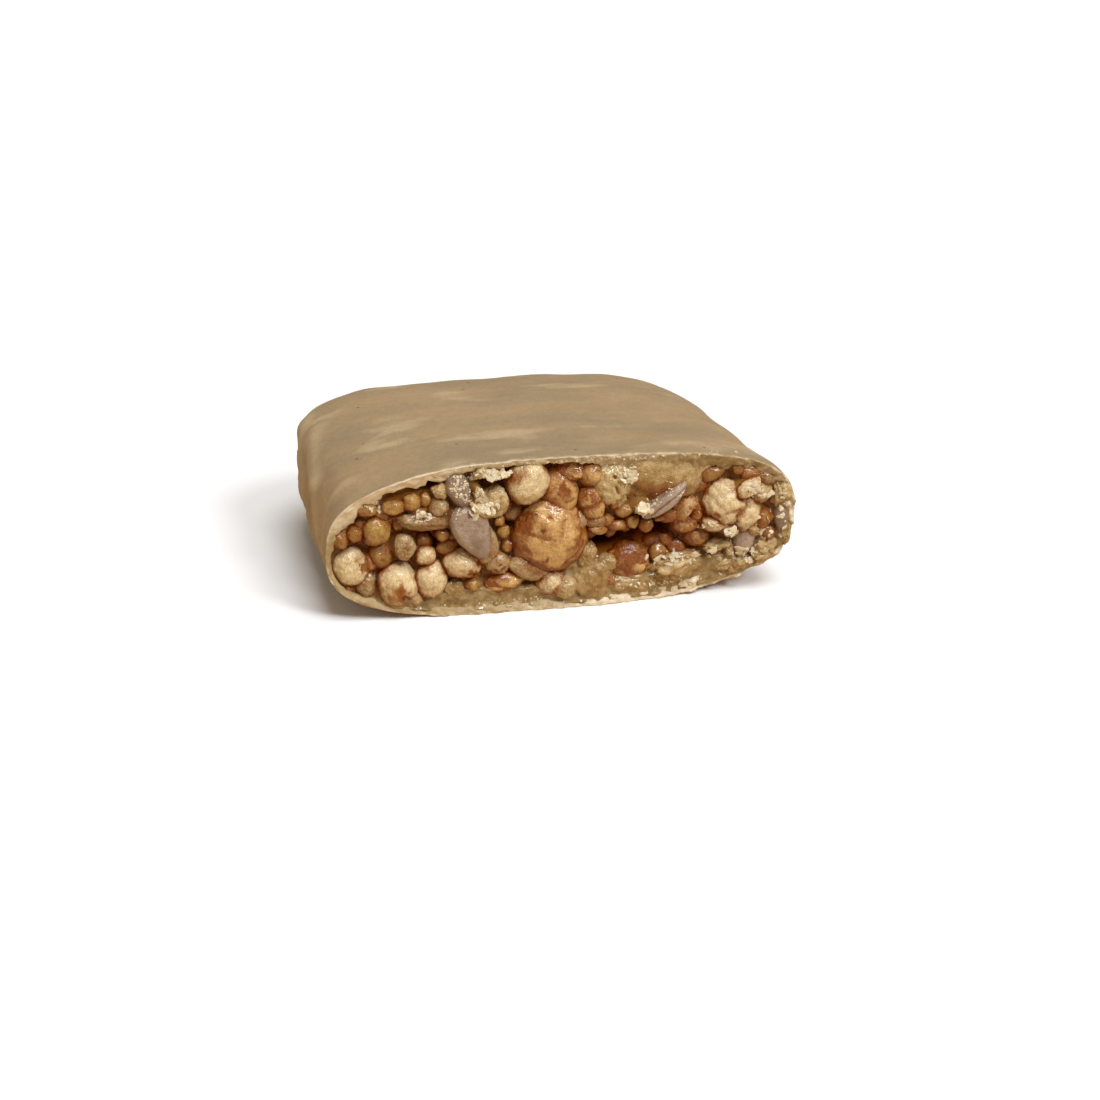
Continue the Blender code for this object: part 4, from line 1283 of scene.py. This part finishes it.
def grain_material(name, colours):
    """Finish of one kind of grain: mottled skin, syrup and painted shade in dents and round the sides, fine
    pitted grain.
    """
    finish = GRAIN_FINISHES[name]
    pale, dark, mottle, syrup_and_shade_amount, roughness, coat, subsurface, grain_amount, streaks = finish
    material, tree, shader = new_material(name, roughness, coat, subsurface, 0.35)
    place = object_place(tree)
    glaze = place_group(tree, syrup_group(), {
        "Pale": with_alpha(getattr(colours, pale)), "Dark": with_alpha(getattr(colours, dark)),
        "Syrup": with_alpha(colours.syrup), "Deep Syrup": with_alpha(colours.deep_syrup),
        "Mottle": mottle, "Mottle Scale": 700.0, "Syrup Amount": syrup_and_shade_amount})
    grain = place_group(tree, fine_grain_group(), {"Scale": 2600.0, "Amount": grain_amount})
    shade_value = grain.outputs["Shade"]
    if streaks > 0:
        own = scaled_place(tree, point_value(tree, "place", "Vector"), (1.0, 1.0, 0.3))
        lines = spread(tree, noise_value(tree, own, 6.0, 3.0, 0.7), 0.35, 0.65, 1.0 - streaks, 1.0 + streaks)
        shade_value = calculate(tree, "MULTIPLY", shade_value, lines)
    colour = mix_colours(tree, 1.0, glaze.outputs["Color"], as_grey(tree, shade_value), "MULTIPLY")
    colour = mix_colours(tree, specks(tree, place, 1500.0, 0.92), colour, with_alpha(colours.deep_syrup))
    tree.links.new(colour, shader.inputs["Base Color"])
    wet_and_shaded = glaze.outputs["Wet"]
    tree.links.new(spread(tree, wet_and_shaded, 0.0, 1.0, roughness, 0.16), shader.inputs["Roughness"])
    tree.links.new(spread(tree, wet_and_shaded, 0.0, 1.0, 0.7 * coat, 0.4), shader.inputs["Coat Weight"])
    add_bump(tree, shader, grain.outputs["Height"], 0.9, 0.10 * MM)
    return material


def core_material(colours):
    """Syrup that binds the filling, darker with thicker syrup and painted shade the further it lies behind
    the break, near black in hollows, and pale binder in zones.
    """
    material, tree, shader = new_material("binding_syrup", 0.25, 0.5, 0.10)
    place = object_place(tree)
    clouds = calculate(tree, "SUBTRACT", noise_value(tree, place, 650.0, 3.0), 0.5)
    sunk = calculate(tree, "ADD", point_value(tree, "sunk"), calculate(tree, "MULTIPLY", clouds, 0.5))
    # painted shade: amber, then syrup, deep syrup and near black, the deeper behind the break
    thick = spread(tree, sunk, 0.10, 0.55)
    colour = mix_colours(tree, thick, with_alpha(colours.amber), with_alpha(colours.syrup))
    colour = mix_colours(tree, spread(tree, sunk, 0.45, 0.85), colour, with_alpha(colours.deep_syrup))
    colour = mix_colours(tree, spread(tree, sunk, 0.85, 1.0), colour, with_alpha(colours.hollow))
    crystal = spread(tree, noise_value(tree, place, 1300.0, 4.0, 0.7), 0.35, 0.70)
    pale = mix_colours(tree, crystal, with_alpha(colours.binder), with_alpha(colours.binder_light))
    zone = calculate(tree, "MULTIPLY", point_value(tree, "paleness"), spread(tree, sunk, 0.45, 0.15))
    colour = mix_colours(tree, zone, colour, pale)
    tree.links.new(colour, shader.inputs["Base Color"])
    grain = place_group(tree, fine_grain_group(), {"Scale": 1800.0, "Amount": 0.2})
    add_bump(tree, shader, grain.outputs["Height"], 0.6, 0.08 * MM)
    return material


def crumb_material(colours):
    """Dry crumbs of broken coating, each with its own tint."""
    material, tree, shader = new_material("dry_crumbs", 0.60, 0.0, 0.15, 0.4)
    tint = point_value(tree, "tint")
    colour = mix_colours(tree, tint, with_alpha(colours.crumb), with_alpha(colours.rim_light))
    tree.links.new(colour, shader.inputs["Base Color"])
    return material


class BarSizes(bpy.types.PropertyGroup):
    """Sizes that a user of the bar would change."""

    thickness: FloatProperty(
        name="Coating", description="Thickness of the coating", default=0.62 * MM, unit="LENGTH",
        precision=5)
    lump_height: FloatProperty(
        name="Lumps", description="Height of the coating's broad lumps", default=0.20 * MM, unit="LENGTH",
        precision=5)
    dome_height: FloatProperty(
        name="Dome height", description="Height of the domes that grains press into the coating",
        default=0.32 * MM, unit="LENGTH", precision=5)
    dome_size: FloatProperty(
        name="Dome spacing", description="Spacing of the domes", default=3.6 * MM, unit="LENGTH",
        precision=5)
    around: IntProperty(
        name="Points round", description="Points round the coating's outline", default=420, min=60)
    bead_count: IntProperty(
        name="Fine beads", description="Most fine beads between the grains", default=190, min=0)
    bead_seed: IntProperty(name="Bead seed", description="Seed of the fine beads' places", default=5)
    crumb_seed: IntProperty(name="Crumb seed", description="Seed of the crumbs' places", default=8)


class BarColours(bpy.types.PropertyGroup):
    """Colours that a user of the bar would change."""

    coating_grey: FloatVectorProperty(
        name="Coating, grey", description="Greyer parts of the coating", default=(0.312, 0.232, 0.136),
        **COLOUR_LIMIT)
    coating_warm: FloatVectorProperty(
        name="Coating, warm", description="Warmer parts of the coating", default=(0.4, 0.277, 0.155),
        **COLOUR_LIMIT)
    # light streaks of the coating, and the painted highlight on the fold crests
    coating_light_and_crest_highlight: FloatVectorProperty(
        name="Coating, light", description="Light streaks of the coating", default=(0.49, 0.37, 0.225),
        **COLOUR_LIMIT)
    coating_patch: FloatVectorProperty(
        name="Coating, patches", description="Grains that show through the coating",
        default=(0.395, 0.235, 0.115), **COLOUR_LIMIT)
    speck: FloatVectorProperty(
        name="Specks", description="Tiny specks in the coating", default=(0.12, 0.07, 0.04), **COLOUR_LIMIT)
    rim: FloatVectorProperty(
        name="Rim", description="Broken edge of the coating", default=(0.4, 0.29, 0.145), **COLOUR_LIMIT)
    rim_light: FloatVectorProperty(
        name="Rim, light", description="Paler parts of the broken edge", default=(0.79, 0.69, 0.51),
        **COLOUR_LIMIT)
    binder: FloatVectorProperty(
        name="Binder", description="Clear binder between the grains", default=(0.23, 0.145, 0.055),
        **COLOUR_LIMIT)
    binder_light: FloatVectorProperty(
        name="Binder, light", description="Cloudy parts of the binder", default=(0.43, 0.315, 0.155),
        **COLOUR_LIMIT)
    crumb: FloatVectorProperty(
        name="Crumbs", description="Crumbs of the coating", default=(0.66, 0.56, 0.39), **COLOUR_LIMIT)
    puff: FloatVectorProperty(
        name="Puffs", description="Pale puffed grains", default=(0.71, 0.565, 0.33), **COLOUR_LIMIT)
    puff_dark: FloatVectorProperty(
        name="Puffs, dark", description="Darker puffed grains", default=(0.4, 0.2, 0.055), **COLOUR_LIMIT)
    caramel: FloatVectorProperty(
        name="Caramel", description="Lighter caramel of the glazed puffs", default=(0.6, 0.365, 0.135),
        **COLOUR_LIMIT)
    caramel_dark: FloatVectorProperty(
        name="Caramel, dark", description="Darker caramel", default=(0.22, 0.058, 0.006), **COLOUR_LIMIT)
    bead: FloatVectorProperty(
        name="Beads", description="Pale glazed beads", default=(0.46, 0.285, 0.082), **COLOUR_LIMIT)
    bead_dark: FloatVectorProperty(
        name="Beads, dark", description="Amber beads", default=(0.25, 0.092, 0.01), **COLOUR_LIMIT)
    glassy: FloatVectorProperty(
        name="Glassy grains", description="Pale glassy grains", default=(0.49, 0.36, 0.18), **COLOUR_LIMIT)
    glassy_dark: FloatVectorProperty(
        name="Glassy grains, dark", description="Darker glassy grains", default=(0.225, 0.115, 0.034),
        **COLOUR_LIMIT)
    seed: FloatVectorProperty(
        name="Seeds", description="Paler parts of the seeds", default=(0.43, 0.325, 0.25), **COLOUR_LIMIT)
    seed_dark: FloatVectorProperty(
        name="Seeds, dark", description="Darker grey of the seeds", default=(0.2, 0.13, 0.09),
        **COLOUR_LIMIT)
    cream: FloatVectorProperty(
        name="Cream lumps", description="Lumps of pale coating", default=(0.58, 0.44, 0.22), **COLOUR_LIMIT)
    cream_dark: FloatVectorProperty(
        name="Cream lumps, dark", description="Yellower lumps", default=(0.32, 0.188, 0.058), **COLOUR_LIMIT)
    amber: FloatVectorProperty(
        name="Amber", description="Thin syrup between the grains", default=(0.25, 0.115, 0.028),
        **COLOUR_LIMIT)
    # syrup colour, also laid on as painted shade where grains touch, on their shaded sides and deeper behind
    # the break
    syrup: FloatVectorProperty(
        name="Syrup", description="Syrup on the grains", default=(0.27, 0.072, 0.005), **COLOUR_LIMIT)
    # thick syrup and painted shade between the grains, also the colour of the specks
    deep_syrup: FloatVectorProperty(
        name="Deep syrup", description="Thick syrup between the grains", default=(0.115, 0.016, 0.001),
        **COLOUR_LIMIT)
    # near-black painted shade inside the hollows
    hollow: FloatVectorProperty(
        name="Hollow", description="Inside of the hollow", default=(0.02, 0.003, 0.0006), **COLOUR_LIMIT)


class GRANOLA_OT_stage(bpy.types.Operator):
    """Make the floor, the soft lights and the camera"""

    bl_idname = "granola_bar.stage"
    bl_label = "Stage"

    def execute(self, context):
        scene = context.scene
        scene.view_settings.view_transform = "Standard"
        add_camera(scene)
        add_floor(scene)
        add_lights(scene)
        return {"FINISHED"}


def add_camera(scene):
    """Camera at the height and distance that show the break from its left."""
    camera = bpy.data.cameras.new("camera")
    camera.lens = CAMERA_LENS
    camera.sensor_width = 36.0
    camera.clip_start = 0.005
    camera.shift_x, camera.shift_y = CAMERA_SHIFT
    holder = bpy.data.objects.new("camera", camera)
    scene.collection.objects.link(holder)
    right, up, back = camera_axes()
    turned = Matrix((right, up, back)).transposed().to_4x4()
    holder.matrix_world = Matrix.Translation(camera_place()) @ turned
    scene.camera = holder


def add_floor(scene):
    """Plain pale floor that the bar lies on."""
    bm = bmesh.new()
    bmesh.ops.create_grid(bm, x_segments=1, y_segments=1, size=3.0)
    mesh = bpy.data.meshes.new("floor")
    bm.to_mesh(mesh)
    bm.free()
    material, tree, shader = new_material("pale_floor", 0.9, 0.0, 0.0, 0.0)
    seen = tree.nodes.new("ShaderNodeLightPath").outputs["Is Camera Ray"]
    colour = mix_colours(tree, seen, FLOOR_BOUNCE, FLOOR_SEEN)
    tree.links.new(colour, shader.inputs["Base Color"])
    mesh.materials.append(material)
    floor = bpy.data.objects.new("floor", mesh)
    scene.collection.objects.link(floor)


def add_lights(scene):
    """Soft light from above, a smaller one from the right in front for the glints, and a pale sky."""
    # Name, direction that it comes from, angle across in degrees, and strength
    lights = (
        ("overhead", (0.10, -0.42, 1.0), 30, 2.00),
        ("glint", (0.55, -0.90, 0.95), 15, 1.35),
    )
    for name, towards, spread_angle, strength in lights:
        light = bpy.data.lights.new(name, "SUN")
        light.angle = math.radians(spread_angle)
        light.energy = strength
        holder = bpy.data.objects.new(name, light)
        scene.collection.objects.link(holder)
        holder.rotation_euler = Vector(towards).to_track_quat("Z", "Y").to_euler()
    world = bpy.data.worlds.new("pale_sky")
    world.use_nodes = True
    tree = world.node_tree
    sky = tree.nodes["Background"]
    seen = tree.nodes.new("ShaderNodeLightPath").outputs["Is Camera Ray"]
    tree.links.new(mix_colours(tree, seen, SKY_LIGHT, SKY_SEEN), sky.inputs["Color"])
    sky.inputs["Strength"].default_value = SKY_STRENGTH
    scene.world = world


class GRANOLA_OT_coating(bpy.types.Operator):
    """Make the coating shell with its lumps and its broken rim"""

    bl_idname = "granola_bar.coating"
    bl_label = "Coating shell"

    def execute(self, context):
        bm = coating_bmesh(context.scene.granola_sizes)
        finish_piece(bm, "coating_shell", "coating", coating_material(context.scene.granola_colours))
        return {"FINISHED"}


class GRANOLA_OT_core(bpy.types.Operator):
    """Make the syrup-bound body of the filling behind the grains"""

    bl_idname = "granola_bar.core"
    bl_label = "Filling core"

    def execute(self, context):
        bm = core_bmesh(grain_shapes(context.scene.granola_sizes))
        finish_piece(bm, "filling_core", "granola", core_material(context.scene.granola_colours))
        return {"FINISHED"}


class GRANOLA_OT_puffs(bpy.types.Operator):
    """Make the pale puffed grains and the larger caramel-glazed ones"""

    bl_idname = "granola_bar.puffs"
    bl_label = "Puffs"

    def execute(self, context):
        colours = context.scene.granola_colours
        shapes = grain_shapes(context.scene.granola_sizes)
        pale = grain_material("pale_puff", colours)
        add_grains("pale_puffs", PALE_PUFFS, pale, shapes)
        add_grains("white_puff", WHITE_PUFFS, pale, shapes)
        caramel = grain_material("caramel_puff", colours)
        add_grains("caramel_puffs", CARAMEL_PUFFS, caramel, shapes, large_detail=LARGE_GRAIN_DETAIL)
        return {"FINISHED"}


class GRANOLA_OT_beads(bpy.types.Operator):
    """Make the named glazed beads and the fine beads between all grains"""

    bl_idname = "granola_bar.beads"
    bl_label = "Beads"

    def execute(self, context):
        sizes = context.scene.granola_sizes
        shapes = grain_shapes(sizes)
        glazed = grain_material("glazed_bead", context.scene.granola_colours)
        add_grains("glazed_beads", GLAZED_BEADS, glazed, shapes)
        add_grains("fine_beads", fine_bead_rows(sizes), glazed, shapes)
        return {"FINISHED"}


class GRANOLA_OT_seeds(bpy.types.Operator):
    """Make the grey seeds and the glassy grains"""

    bl_idname = "granola_bar.seeds"
    bl_label = "Seeds and glassy grains"

    def execute(self, context):
        colours = context.scene.granola_colours
        shapes = grain_shapes(context.scene.granola_sizes)
        seed = grain_material("grey_seed", colours)
        add_grains("seed_kernels", SEEDS, seed, shapes, narrow=SEED_NARROWING, flat=SEED_FLATNESS)
        glassy = grain_material("glassy_grain", colours)
        add_grains("glassy_grains", GLASSY_GRAINS, glassy, shapes)
        return {"FINISHED"}


class GRANOLA_OT_lumps(bpy.types.Operator):
    """Make the cream lumps and flakes of coating among the grains, and the slabs of yellow binder"""

    bl_idname = "granola_bar.lumps"
    bl_label = "Lumps"

    def execute(self, context):
        colours = context.scene.granola_colours
        shapes = grain_shapes(context.scene.granola_sizes)
        cream = grain_material("cream_lump", colours)
        add_grains("cream_lumps", CREAM_LUMPS, cream, shapes)
        yellow = grain_material("yellow_binder", colours)
        add_grains("binder_slabs", BINDER_SLABS, yellow, shapes, flat=SLAB_FLATNESS)
        return {"FINISHED"}


class GRANOLA_OT_crumbs(bpy.types.Operator):
    """Scatter the crumbs of broken coating over what shows at the break"""

    bl_idname = "granola_bar.crumbs"
    bl_label = "Crumbs"

    def execute(self, context):
        bm = crumbs_bmesh(context.scene.granola_sizes)
        finish_piece(bm, "crumbs", "granola", crumb_material(context.scene.granola_colours), False)
        return {"FINISHED"}


class GRANOLA_PT_bar(bpy.types.Panel):
    """Sizes, colours and pieces of the bar"""

    bl_idname = "GRANOLA_PT_bar"
    bl_label = "Granola bar"
    bl_space_type = "VIEW_3D"
    bl_region_type = "UI"
    bl_category = "Granola bar"

    def draw(self, context):
        for group in (context.scene.granola_sizes, context.scene.granola_colours):
            for label in group.__annotations__:
                self.layout.prop(group, label)
        for operator in OPERATORS:
            self.layout.operator(operator.bl_idname)


OPERATORS = (
    GRANOLA_OT_stage,
    GRANOLA_OT_coating,
    GRANOLA_OT_core,
    GRANOLA_OT_puffs,
    GRANOLA_OT_beads,
    GRANOLA_OT_seeds,
    GRANOLA_OT_lumps,
    GRANOLA_OT_crumbs,
)
CLASSES = (BarSizes, BarColours) + OPERATORS + (GRANOLA_PT_bar,)


def register():
    for item in CLASSES:
        bpy.utils.register_class(item)
    bpy.types.Scene.granola_sizes = PointerProperty(type=BarSizes)
    bpy.types.Scene.granola_colours = PointerProperty(type=BarColours)


def unregister():
    del bpy.types.Scene.granola_colours
    del bpy.types.Scene.granola_sizes
    for item in reversed(CLASSES):
        bpy.utils.unregister_class(item)


def main():
    register()
    bpy.ops.granola_bar.stage()
    bpy.ops.granola_bar.coating()
    bpy.ops.granola_bar.core()
    bpy.ops.granola_bar.puffs()
    bpy.ops.granola_bar.beads()
    bpy.ops.granola_bar.seeds()
    bpy.ops.granola_bar.lumps()
    bpy.ops.granola_bar.crumbs()


if __name__ == "__main__":
    main()
